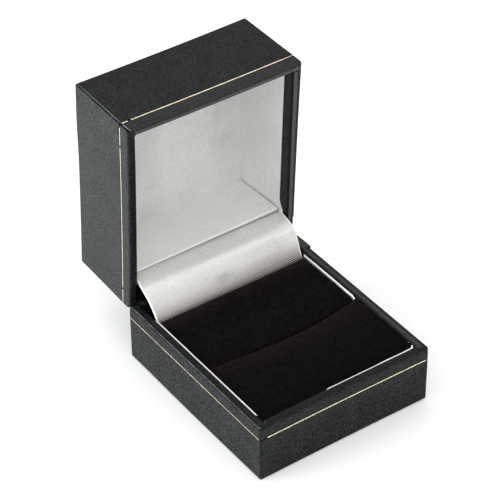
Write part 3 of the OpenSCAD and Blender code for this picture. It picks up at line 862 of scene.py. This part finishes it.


def flap(width=45.0, t=0.3):
    a, b = catmull(FLAP_L, 7), catmull(FLAP_R, 7)
    m = len(a)
    nx = 120
    X = np.concatenate([[-width / 2, -width / 2 + 0.1, -width / 2 + 0.25], np.linspace(-width / 2 + 0.5, width / 2 - 0.5, nx), [width / 2 - 0.25, width / 2 - 0.1, width / 2]])
    mid, fab = [], []
    for i in range(m):
        for x in X:
            w = 1 - (1 - (x + width / 2) / width) ** 1.6
            y, z = a[i] * (1 - w) + b[i] * w
            s = i / (m - 1)
            belly = math.sin(math.pi * min(1, max(0, (s - 0.15) / 0.75)))
            k = 0.10 * ns(x, s * 30, 0, 6.0, 17.0) * belly
            # the small dent in the middle, near the foot
            k -= 0.40 * math.exp(-((x + 1.0) / 2.3) ** 2 - ((s - 0.71) / 0.065) ** 2)
            y -= k
            z += 0.6 * k
            mid.append((x, HD + y, RIM + z))
    mid = np.array(mid).reshape(m, len(X), 3)
    ds = np.linalg.norm(np.diff(mid, axis=0), axis=2)
    run = np.concatenate([np.zeros((1, len(X))), np.cumsum(ds, axis=0)])
    # normals
    du = np.gradient(mid, axis=1)
    dv = np.gradient(mid, axis=0)
    n = np.cross(du, dv)
    n /= np.linalg.norm(n, axis=2, keepdims=True)
    th = np.full((m, len(X)), t / 2 - 0.03)
    th[:, 0] = th[:, -1] = t * 0.34
    th[:, 1] = th[:, -2] = t / 2 + 0.03
    th[:, 2] = th[:, -3] = t / 2 + 0.03
    front, back = mid + n * th[..., None], mid - n * th[..., None]
    cols = len(X)
    verts = np.concatenate([front.reshape(-1, 3), back.reshape(-1, 3)])
    N = m * cols
    faces = grid_faces(m, cols) + [tuple(reversed(f)) for f in grid_faces(m, cols, start=N)]
    for i in range(m - 1):
        faces.append((i * cols, (i + 1) * cols, N + (i + 1) * cols, N + i * cols))
        faces.append((i * cols + cols - 1, N + i * cols + cols - 1, N + (i + 1) * cols + cols - 1, (i + 1) * cols + cols - 1))
    for j in range(cols - 1):
        faces.append((j, N + j, N + j + 1, j + 1))
        faces.append(((m - 1) * cols + j, (m - 1) * cols + j + 1, N + (m - 1) * cols + j + 1, N + (m - 1) * cols + j))
    f2 = np.stack([np.broadcast_to(X, (m, cols)), run, np.zeros((m, cols))], 2).reshape(-1, 3)
    share = np.arange(m)[:, None] / (m - 1)
    bend = 0.465 - 0.11 * (X[None, :] + 21) / 38  # where it turns over, lower on the left
    # painted shade on the band from the lip down to the bend
    upper = -0.25 * (1 - smooth((share - bend + 0.04) / 0.08))
    # painted highlight along the rolled side edges
    rolled = 0.9 * (np.abs(X[None, :]) > width / 2 - 0.3)
    # painted sheen just below the bend
    tone = np.where(rolled > 0, rolled, upper + 0.16 * np.exp(-(((share - bend - 0.06) / 0.055) ** 2)))
    # painted shade in the small dent near the foot
    f2[:, 2] = (tone - 0.24 * np.exp(-((X[None, :] + 0.9 + 12 * (share - 0.72)) / 2.3) ** 2 - ((share - 0.72) / 0.07) ** 2)).reshape(-1)
    ob = build("satin_flap_cloth", verts, faces, sharp=70, attr=np.concatenate([f2, f2]))
    outward(ob)
    return ob, float(run[-1].mean())


flap_ob, flap_len = flap()


def spring():
    hook = np.array([-1.75, -4.0])
    hr = float(np.linalg.norm(hook))
    ha = 2 * math.pi + math.atan2(hook[1], hook[0])
    a1 = 2 * math.pi - ha - OPEN
    n = 40
    s = np.linspace(0, 1, n)
    rad = hr - 1.0 * np.sin(np.pi * s)
    ang = ha * (1 - s) + a1 * s
    arc = np.stack([rad * np.cos(ang), rad * np.sin(ang)], 1)
    tan = np.gradient(arc, axis=0)
    tan /= np.linalg.norm(tan, axis=1, keepdims=True)
    nor = np.stack([-tan[:, 1], tan[:, 0]], 1)
    sec = []
    for i in range(n):
        sec.append((arc[i] + nor[i] * 0.125, arc[i] - nor[i] * 0.125))
    X = np.array([-5.8, -5.72, -5.6, -3, 0, 3, 5.6, 5.72, 5.8])
    verts, faces = [], []
    for x in X:
        k = 0.6 if abs(x) > 5.75 else 1.0
        for i in range(n):
            c = arc[i]
            verts.append((x, *(c + nor[i] * 0.125 * k)))
        for i in range(n - 1, -1, -1):
            c = arc[i]
            verts.append((x, *(c - nor[i] * 0.125 * k)))
    cols = 2 * n
    faces = grid_faces(len(X), cols, loop=True)
    for row in (0, len(X) - 1):
        for i in range(n - 1):
            a, b = row * cols + i, row * cols + i + 1
            c, d = row * cols + cols - 2 - i, row * cols + cols - 1 - i
            faces.append((a, b, c, d) if row else (d, c, b, a))
    # rolled ends
    for a in (ha, a1):
        c = np.array([hr * math.cos(a), hr * math.sin(a)])
        start = len(verts)
        rr = [(-8.4, 0.30), (-8.32, 0.42), (-8.2, 0.45), (-5, 0.45), (5, 0.45), (8.2, 0.45), (8.32, 0.42), (8.4, 0.30)]
        k = 20
        for x, r in rr:
            for q in range(k):
                t = 2 * math.pi * q / k
                verts.append((x, c[0] + r * math.cos(t), c[1] + r * math.sin(t)))
        faces += grid_faces(len(rr), k, loop=True, start=start)
        faces.append(tuple(range(start, start + k)))
        faces.append(tuple(reversed(range(start + (len(rr) - 1) * k, start + len(rr) * k))))
    v = np.array(verts)
    v[:, 1] += HY
    v[:, 2] += HZ
    ob = build("hinge_spring_leaf", v, faces, sharp=45)
    return outward(ob)


spring_ob = spring()


# ---------------------------------------------------------------- materials
def material(name):
    m = bpy.data.materials.new(name)
    m.use_nodes = True
    nt = m.node_tree
    return m, nt, nt.nodes["Principled BSDF"]


def node(nt, kind, inputs=None, **props):
    n = nt.nodes.new(kind)
    for k, v in props.items():
        setattr(n, k, v)
    for k, v in (inputs or {}).items():
        if isinstance(v, bpy.types.NodeSocket):
            nt.links.new(v, n.inputs[k])
        else:
            n.inputs[k].default_value = v
    return n


def coords(nt):
    return node(nt, "ShaderNodeTexCoord").outputs["Object"]


def noise_tex(nt, vec, scale, detail=3.0, rough=0.55, distortion=0.0):
    return node(nt, "ShaderNodeTexNoise", {"Vector": vec, "Scale": scale, "Detail": detail, "Roughness": rough, "Distortion": distortion}).outputs["Fac"]


def ramp(nt, fac, stops):
    n = node(nt, "ShaderNodeValToRGB", {"Fac": fac})
    els = n.color_ramp.elements
    while len(els) < len(stops):
        els.new(0.5)
    for e, (p, c) in zip(els, stops):
        e.position = p
        e.color = (*c, 1.0) if len(c) == 3 else c
    return n.outputs["Color"]


def span(nt, fac, a, b, c, d):
    return node(nt, "ShaderNodeMapRange", {"Value": fac, "From Min": a, "From Max": b, "To Min": c, "To Max": d}).outputs["Result"]


def calc(nt, op, a, b=None, c=None):
    ins = {0: a}
    if b is not None:
        ins[1] = b
    if c is not None:
        ins[2] = c
    return node(nt, "ShaderNodeMath", ins, operation=op).outputs[0]


def bump(nt, height, dist_mm, strength=1.0, normal=None):
    ins = {"Height": height, "Distance": dist_mm * MM, "Strength": strength}
    if normal is not None:
        ins["Normal"] = normal
    return node(nt, "ShaderNodeBump", ins).outputs["Normal"]


def leatherette():
    """black embossed paper-backed leatherette: fine pebble and wrinkle, bluish grey bloom, bare grey paper at the front
    sheet's cut edge; a point attribute also paints light and shade over it
    """
    m, nt, b = material("leatherette")
    v0 = coords(nt)
    v = node(nt, "ShaderNodeMapping", {"Vector": v0, "Scale": (1.0, 1.0, 0.6)}).outputs["Vector"]
    warp = node(nt, "ShaderNodeTexNoise", {"Vector": v, "Scale": 900.0, "Detail": 2.0}).outputs["Color"]
    vv = node(nt, "ShaderNodeMixRGB", {"Fac": 0.0006, "Color1": v, "Color2": warp}, blend_type="ADD").outputs["Color"]
    cells = node(nt, "ShaderNodeTexVoronoi", {"Vector": vv, "Scale": 1900.0}, feature="DISTANCE_TO_EDGE").outputs["Distance"]
    cell_h = span(nt, cells, 0.0, 0.16, 0.0, 1.0)
    fine = noise_tex(nt, v, 4300.0, 2.0, 0.5)
    mid = noise_tex(nt, v, 2300.0, 2.0, 0.5)
    big = noise_tex(nt, v0, 170.0, 3.0, 0.55)
    mott = calc(nt, "ADD", calc(nt, "MULTIPLY", fine, 0.62), calc(nt, "ADD", calc(nt, "MULTIPLY", mid, 0.30), calc(nt, "MULTIPLY", big, 0.08)))
    tight = node(nt, "ShaderNodeAttribute", attribute_name="tight").outputs["Fac"]
    col = ramp(nt, mott, [(0.39, (0.0028, 0.0032, 0.0034)), (0.5, (0.0070, 0.0079, 0.0083)), (0.60, (0.0185, 0.0206, 0.0218))])
    col = node(nt, "ShaderNodeMixRGB", {"Fac": calc(nt, "MULTIPLY", tight, 0.6), "Color1": col, "Color2": (0.0085, 0.0095, 0.010, 1)}).outputs["Color"]
    crack = ramp(nt, cell_h, [(0.0, (0.35, 0.35, 0.35)), (0.7, (1, 1, 1))])
    col = node(nt, "ShaderNodeMixRGB", {"Fac": 0.8, "Color1": col, "Color2": crack}, blend_type="MULTIPLY").outputs["Color"]
    # a few pale specks of dust
    dots = node(nt, "ShaderNodeTexVoronoi", {"Vector": v0, "Scale": 95.0, "Randomness": 1.0}, feature="F1")
    near = span(nt, dots.outputs["Distance"], 0.012, 0.02, 1.0, 0.0)
    pick = node(nt, "ShaderNodeSeparateXYZ", {0: dots.outputs["Color"]}).outputs[0]
    speck = calc(nt, "MULTIPLY", near, calc(nt, "GREATER_THAN", pick, 0.8))
    col = node(nt, "ShaderNodeMixRGB", {"Fac": calc(nt, "MULTIPLY", speck, 0.35), "Color1": col, "Color2": (0.30, 0.31, 0.31, 1)}).outputs["Color"]
    painted_light_and_paper_attr = node(nt, "ShaderNodeAttribute", attribute_name="paper_and_painted_light").outputs["Fac"]
    fray = span(nt, noise_tex(nt, v0, 2600.0, 2.0, 0.6), 0.35, 0.6, 0.45, 1.0)
    # the grey mixed in is bare paper at the front sheet's cut edge and, elsewhere, painted light
    paper_grey_and_painted_light = calc(nt, "MULTIPLY", painted_light_and_paper_attr, fray)
    paper_grey_and_painted_light = node(nt, "ShaderNodeClamp", {"Value": paper_grey_and_painted_light}).outputs["Result"]
    col = node(nt, "ShaderNodeMixRGB", {"Fac": paper_grey_and_painted_light, "Color1": col, "Color2": (0.40, 0.42, 0.42, 1)}).outputs["Color"]
    # darkens colour and specular: painted shade, and darker lines beside the foil and over a few edges
    painted_shade_and_darkening = span(nt, painted_light_and_paper_attr, 0.0, -1.0, 1.0, 0.05)
    col = node(nt, "ShaderNodeMixRGB", {"Fac": 1.0, "Color1": col, "Color2": node(nt, "ShaderNodeCombineXYZ", {0: painted_shade_and_darkening, 1: painted_shade_and_darkening, 2: painted_shade_and_darkening}).outputs[0]}, blend_type="MULTIPLY").outputs["Color"]
    nt.links.new(col, b.inputs["Base Color"])
    nt.links.new(span(nt, mid, 0.3, 0.7, 0.34, 0.52), b.inputs["Roughness"])
    nt.links.new(calc(nt, "MULTIPLY", painted_shade_and_darkening, span(nt, mott, 0.41, 0.59, 0.04, 0.22)), b.inputs["Specular IOR Level"])
    h = calc(nt, "ADD", calc(nt, "MULTIPLY", cell_h, 0.6), calc(nt, "MULTIPLY", fine, 0.5))
    relief = span(nt, tight, 0.0, 1.0, 1.0, 0.45)
    n1 = bump(nt, h, 0.035, relief)
    n2 = bump(nt, mid, 0.08, relief, n1)
    nt.links.new(n2, b.inputs["Normal"])
    return m


def gilt():
    m, nt, b = material("gilt_foil")
    v = coords(nt)
    n = noise_tex(nt, v, 2600.0, 3.0, 0.6)
    big = noise_tex(nt, v, 500.0, 2.0, 0.5)
    col = ramp(nt, n, [(0.3, (0.80, 0.56, 0.30)), (0.44, (1.0, 0.86, 0.60)), (0.66, (1.0, 0.96, 0.84))])
    nt.links.new(col, b.inputs["Base Color"])
    b.inputs["Metallic"].default_value = 1.0
    nt.links.new(span(nt, big, 0.3, 0.7, 0.28, 0.5), b.inputs["Roughness"])
    nt.links.new(bump(nt, n, 0.02, 0.6), b.inputs["Normal"])
    return m


def satin(name, base, ang, pitch=0.46, rib=1.0, shade=None, rough=(0.62, 0.42), fade=None):
    """diagonal twill from the piece's own fabric coordinate, in mm; shade = (run a, run b, colour) darkens a stretch,
    fade = (run a, run b, least) lets the ribs die out before run b"""
    m, nt, b = material(name)
    fab = node(nt, "ShaderNodeAttribute", attribute_name="fab").outputs["Vector"]
    sep = node(nt, "ShaderNodeSeparateXYZ", {0: fab})
    v = coords(nt)
    wav = noise_tex(nt, v, 220.0, 2.0, 0.5)
    c, s = math.cos(math.radians(ang)), math.sin(math.radians(ang))
    lin = calc(nt, "ADD", calc(nt, "MULTIPLY", sep.outputs[0], c), calc(nt, "MULTIPLY", sep.outputs[1], s))
    lin = calc(nt, "ADD", lin, calc(nt, "MULTIPLY", wav, 0.5))
    ph = calc(nt, "MULTIPLY", lin, 2 * math.pi / pitch)
    w = calc(nt, "MULTIPLY_ADD", calc(nt, "SINE", ph), 0.5, 0.5)
    # thread segments along each rib
    perp = calc(nt, "ADD", calc(nt, "MULTIPLY", sep.outputs[0], -s), calc(nt, "MULTIPLY", sep.outputs[1], c))
    seg = calc(nt, "MULTIPLY_ADD", calc(nt, "SINE", calc(nt, "MULTIPLY", perp, 2 * math.pi / (pitch * 0.8))), 0.5, 0.5)
    fine = noise_tex(nt, v, 3800.0, 2.0, 0.5)
    mid = noise_tex(nt, v, 1300.0, 2.0, 0.5)
    big = noise_tex(nt, v, 95.0, 2.0, 0.5)
    # the ribs show more in some places than in others
    clear = span(nt, noise_tex(nt, v, 60.0, 2.0, 0.5), 0.40, 0.60, 0.45, 1.0)
    groove = calc(nt, "MULTIPLY", calc(nt, "SUBTRACT", 1.0, w), clear)
    shown = 1.0
    if fade:
        shown = node(nt, "ShaderNodeClamp", {"Value": span(nt, sep.outputs[1], fade[0], fade[1], fade[2], 1.0), "Min": fade[2], "Max": 1.0}).outputs["Result"]
        groove = calc(nt, "MULTIPLY", groove, shown)
    dark = tuple(x * (1 - 0.42 * rib) for x in base)
    light = tuple(min(0.97, x * 1.07) for x in base)
    tone = calc(nt, "ADD", calc(nt, "MULTIPLY", mid, 0.5), calc(nt, "ADD", calc(nt, "MULTIPLY", fine, 0.2), calc(nt, "MULTIPLY", big, 0.3)))
    col = ramp(nt, tone, [(0.38, tuple(x * 0.90 for x in base)), (0.5, base), (0.62, light)])
    col = node(nt, "ShaderNodeMixRGB", {"Fac": groove, "Color1": col, "Color2": (*dark, 1)}).outputs["Color"]
    if shade:
        t = span(nt, sep.outputs[1], shade[0], shade[1], 0.0, 1.0)
        t = calc(nt, "MULTIPLY", calc(nt, "MULTIPLY", t, t), calc(nt, "MULTIPLY_ADD", calc(nt, "SUBTRACT", 1.0, w), 0.75, 0.35))
        col = node(nt, "ShaderNodeMixRGB", {"Fac": t, "Color1": col, "Color2": (*shade[2], 1)}).outputs["Color"]
    # the third fab coordinate: below 0 paints shade, above 0 paints a highlight
    seam_paper_and_painted_shade = span(nt, sep.outputs[2], 0.0, -1.0, 0.0, 1.0)
    col = node(nt, "ShaderNodeMixRGB", {"Fac": seam_paper_and_painted_shade, "Color1": col, "Color2": (0.10, 0.095, 0.085, 1)}).outputs["Color"]
    painted_highlight = span(nt, sep.outputs[2], 0.0, 1.0, 0.0, 1.0)
    col = node(nt, "ShaderNodeMixRGB", {"Fac": painted_highlight, "Color1": col, "Color2": (0.97, 0.96, 0.93, 1)}).outputs["Color"]
    nt.links.new(col, b.inputs["Base Color"])
    nt.links.new(span(nt, w, 0.0, 1.0, *rough), b.inputs["Roughness"])
    b.inputs["Specular IOR Level"].default_value = 0.4
    b.inputs["Sheen Weight"].default_value = 0.12
    b.inputs["Sheen Roughness"].default_value = 0.4
    h = calc(nt, "ADD", w, calc(nt, "ADD", calc(nt, "MULTIPLY", seg, 0.25), calc(nt, "MULTIPLY", fine, 0.35)))
    nt.links.new(bump(nt, h, 0.05 * rib, shown), b.inputs["Normal"])
    return m


def velvet():
    m, nt, b = material("velvet")
    v = coords(nt)
    fine = noise_tex(nt, v, 4200.0, 4.0, 0.65)
    nap = noise_tex(nt, v, 420.0, 3.0, 0.6)
    tuft = noise_tex(nt, v, 2100.0, 2.0, 0.55)
    mix = calc(nt, "ADD", calc(nt, "MULTIPLY", fine, 0.58), calc(nt, "ADD", calc(nt, "MULTIPLY", tuft, 0.32), calc(nt, "MULTIPLY", nap, 0.10)))
    col = ramp(nt, mix, [(0.42, (0.0002, 0.0002, 0.0002)), (0.5, (0.0020, 0.0016, 0.0017)), (0.575, (0.0102, 0.0074, 0.0082))])
    # painted light from the white flap on the rear pad near it
    fab = node(nt, "ShaderNodeSeparateXYZ", {0: node(nt, "ShaderNodeAttribute", attribute_name="fab").outputs["Vector"]})
    lean = span(nt, fab.outputs[1], 12.5, 19.0, 0.0, 1.0)
    lean = calc(nt, "MULTIPLY", calc(nt, "MULTIPLY", lean, lean), span(nt, nap, 0.35, 0.65, 0.6, 1.4))
    col = node(nt, "ShaderNodeMixRGB", {"Fac": lean, "Color1": col, "Color2": (0.0115, 0.0088, 0.0098, 1)}, blend_type="ADD").outputs["Color"]
    # darker towards the front
    near = span(nt, fab.outputs[1], -26.0, -9.0, 0.55, 1.0)
    col = node(nt, "ShaderNodeMixRGB", {"Fac": 1.0, "Color1": col, "Color2": node(nt, "ShaderNodeCombineXYZ", {0: near, 1: near, 2: near}).outputs[0]}, blend_type="MULTIPLY").outputs["Color"]
    # and a reddish painted highlight along the slot's front edge, on the front pad's shoulder
    off = calc(nt, "SUBTRACT", fab.outputs[0], 3.5)
    edge = calc(nt, "ADD", fab.outputs[1], calc(nt, "SUBTRACT", 3.95, calc(nt, "MULTIPLY", calc(nt, "MULTIPLY", off, off), 0.0045)))
    band = calc(nt, "MULTIPLY", span(nt, edge, -8.0, -1.2, 0.0, 1.0), calc(nt, "LESS_THAN", edge, 0.0))
    col = node(nt, "ShaderNodeMixRGB", {"Fac": calc(nt, "MULTIPLY", band, 0.8), "Color1": col, "Color2": (0.0042, 0.0022, 0.0024, 1)}, blend_type="ADD").outputs["Color"]
    # sparse lint
    dots = node(nt, "ShaderNodeTexVoronoi", {"Vector": v, "Scale": 130.0, "Randomness": 1.0}, feature="F1")
    near = span(nt, dots.outputs["Distance"], 0.012, 0.02, 1.0, 0.0)
    pick = node(nt, "ShaderNodeSeparateXYZ", {0: dots.outputs["Color"]}).outputs[0]
    lint = calc(nt, "MULTIPLY", near, calc(nt, "GREATER_THAN", pick, 0.8))
    col = node(nt, "ShaderNodeMixRGB", {"Fac": calc(nt, "MULTIPLY", lint, 0.25), "Color1": col, "Color2": (0.16, 0.13, 0.13, 1)}).outputs["Color"]
    nt.links.new(col, b.inputs["Base Color"])
    b.inputs["Roughness"].default_value = 0.95
    b.inputs["Specular IOR Level"].default_value = 0.05
    b.inputs["Sheen Weight"].default_value = 0.05
    b.inputs["Sheen Roughness"].default_value = 0.3
    b.inputs["Sheen Tint"].default_value = (0.30, 0.23, 0.26, 1)
    n1 = bump(nt, fine, 0.12, 0.9)
    n2 = bump(nt, tuft, 0.2, 0.6, n1)
    nt.links.new(n2, b.inputs["Normal"])
    return m


def plain(name, lo, hi, scale, rough=(0.5, 0.7), bump_mm=0.03, metal=0.0, stretch=None, spec=0.5, detail=4.0):
    """board, paper, foam, moulded plastic and steels: two-tone noise, grain and bump"""
    m, nt, b = material(name)
    v = coords(nt)
    if stretch:
        v = node(nt, "ShaderNodeMapping", {"Vector": v, "Scale": stretch}).outputs["Vector"]
    n = noise_tex(nt, v, scale, detail, 0.6)
    big = noise_tex(nt, v, scale * 0.12, 2.0, 0.5)
    mix = calc(nt, "ADD", calc(nt, "MULTIPLY", n, 0.6), calc(nt, "MULTIPLY", big, 0.4))
    nt.links.new(ramp(nt, mix, [(0.36, lo), (0.64, hi)]), b.inputs["Base Color"])
    nt.links.new(span(nt, n, 0.3, 0.7, *rough), b.inputs["Roughness"])
    b.inputs["Metallic"].default_value = metal
    b.inputs["Specular IOR Level"].default_value = spec
    nt.links.new(bump(nt, n, bump_mm), b.inputs["Normal"])
    return m


M_LEATHER = leatherette()
M_GILT = gilt()
# one satin in several copies: their base colours differ as painted light, the side linings lighter and the top panel
# darker; the rear's ribs are weaker
M_SATIN_TOP = satin("lining_satin", (0.775, 0.775, 0.76), -42, pitch=0.5, rib=0.7)
M_SATIN_REAR = satin("lining_satin_rear", (0.785, 0.785, 0.765), -42, rib=0.22)
M_SATIN_SIDE = satin("lining_satin_sides", (0.835, 0.835, 0.82), 45, rib=0.48)
M_FLAP = satin("flap_satin", (0.81, 0.795, 0.765), -42, pitch=0.485, rib=0.95, shade=(flap_len * FLAP_SHADE[0], flap_len * FLAP_SHADE[1], (0.16, 0.14, 0.11)), fade=(flap_len * 0.42, flap_len * 0.76, 0.12))
M_VELVET = velvet()
M_PLASTIC = plain("shell_plastic", (0.012, 0.012, 0.013), (0.022, 0.022, 0.024), 1800, (0.42, 0.6), 0.02)
M_PAPER = plain("sole_paper", (0.010, 0.010, 0.011), (0.026, 0.026, 0.028), 2600, (0.75, 0.95), 0.04, stretch=(1, 0.4, 1))
M_CARD = plain("card", (0.45, 0.43, 0.39), (0.60, 0.58, 0.54), 2200, (0.8, 0.95), 0.03, stretch=(1, 0.35, 1))
M_FOAM = plain("foam", (0.05, 0.05, 0.055), (0.11, 0.11, 0.115), 3000, (0.9, 1.0), 0.15)
M_BRACKET = plain("bracket_steel", (0.035, 0.036, 0.040), (0.075, 0.076, 0.08), 900, (0.38, 0.55), 0.01, metal=1.0, stretch=(0.15, 1, 1))
M_RIVET = plain("rivet_metal", (0.30, 0.30, 0.31), (0.48, 0.48, 0.49), 1500, (0.3, 0.5), 0.01, metal=1.0)
M_SPRING = plain("spring_steel", (0.36, 0.37, 0.40), (0.52, 0.53, 0.56), 1200, (0.22, 0.4), 0.008, metal=1.0, stretch=(0.08, 1, 1))


def paint(ob, mat):
    ob.data.materials.clear()
    ob.data.materials.append(mat)


for name, mat in {
    "base_shell": M_PLASTIC, "lid_shell": M_PLASTIC, "base_sole": M_PAPER, "pad_board": M_CARD,
    "lid_top_board": M_CARD, "lid_top_foam": M_FOAM,
    "base_hinge_bracket": M_BRACKET, "lid_hinge_bracket": M_BRACKET, "base_bracket_rivets": M_RIVET,
    "lid_bracket_rivets": M_RIVET, "hinge_pins": M_BRACKET,
}.items():
    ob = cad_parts[name]
    for s in ob.material_slots:
        s.material = mat
    if not ob.material_slots:
        ob.data.materials.append(mat)

for ob, mat, body, stands_for, slot in (
    (base_leather, M_LEATHER, "base", "base_cover", "leatherette"),
    (lid_leather, M_LEATHER, "lid", "lid_cover", "leatherette"),
    (base_foil, M_GILT, "base", "base_foil_line", "gilt_foil"),
    (lid_foil, M_GILT, "lid", "lid_foil_line", "gilt_foil"),
    (base_lining, M_SATIN_SIDE, "base", "base_lining", "lining_satin"),
    (lid_sides, M_SATIN_SIDE, "lid", "lid_side_lining", "lining_satin"),
    (lid_top, M_SATIN_TOP, "lid", "lid_top_satin", "lining_satin"),
    (lid_rear, M_SATIN_REAR, "lid", "lid_rear_lining", "lining_satin"),
    (velvet_front, M_VELVET, "base", "pad_velvet_front", "velvet"),
    (velvet_rear, M_VELVET, "base", "pad_velvet_rear", "velvet"),
    (foam_front, M_FOAM, "base", "pad_foam_front", "foam"),
    (foam_rear, M_FOAM, "base", "pad_foam_rear", "foam"),
):
    paint(ob, mat)
    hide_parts(stands_for)
    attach(ob, body)

paint(flap_ob, M_FLAP)
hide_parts("satin_flap")
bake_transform(flap_ob)
paint(spring_ob, M_SPRING)
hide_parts("hinge_spring")
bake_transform(spring_ob)

# ---------------------------------------------------------------- camera
cam = bpy.data.cameras.new("camera")
cam_ob = bpy.data.objects.new("camera", cam)
bpy.context.scene.collection.objects.link(cam_ob)
az, el, dist, roll = math.radians(-35.302), math.radians(38.137), 534.44, math.radians(-0.21)
target = Vector((-7.935, 0.0, 43.804))
back = Vector((math.sin(az) * math.cos(el), -math.cos(az) * math.cos(el), math.sin(el)))
cam_ob.location = (target + back * dist) * MM
cam_ob.rotation_mode = "QUATERNION"
cam_ob.rotation_quaternion = (-back).to_track_quat("-Z", "Y") @ Quaternion((0, 0, 1), roll)
cam.sensor_width = 36
cam.lens = 163.71
cam.clip_start, cam.clip_end = 0.01, 50
bpy.context.scene.camera = cam_ob

# ---------------------------------------------------------------- stage
floor = build("floor", [(-4000, -4000, 0), (4000, -4000, 0), (4000, 4000, 0), (-4000, 4000, 0)], [(0, 1, 2, 3)])
fm, fnt, fb = material("floor")
fb.inputs["Base Color"].default_value = (0.92, 0.92, 0.92, 1)
fb.inputs["Roughness"].default_value = 0.9
fb.inputs["Specular IOR Level"].default_value = 0.0
fb.inputs["Emission Color"].default_value = (1, 1, 1, 1)
fb.inputs["Emission Strength"].default_value = 0.14
floor.data.materials.append(fm)


def area(name, loc, size, power, colour=(1, 1, 1), at=(0, 0, 0.03)):
    l = bpy.data.lights.new(name, "AREA")
    l.shape = "RECTANGLE"
    l.size, l.size_y = size
    l.energy = power
    l.color = colour
    o = bpy.data.objects.new(name, l)
    bpy.context.scene.collection.objects.link(o)
    o.location = loc
    o.rotation_mode = "QUATERNION"
    o.rotation_quaternion = (Vector(at) - Vector(loc)).to_track_quat("-Z", "Y")
    return o


area("key_left", (-0.95, 0.40, 0.15), (0.7, 0.28), 14.0, (0.91, 1.0, 1.0))
area("fill_front", (-0.35, -0.80, 1.10), (0.9, 0.9), 3.0)
world = bpy.data.worlds.new("world")
bpy.context.scene.world = world
world.use_nodes = True
bg = world.node_tree.nodes["Background"]
bg.inputs["Color"].default_value = (1.0, 1.0, 1.0, 1)
bg.inputs["Strength"].default_value = 1.0
bpy.context.scene.view_settings.view_transform = "Standard"
bpy.context.scene.view_settings.look = "None"
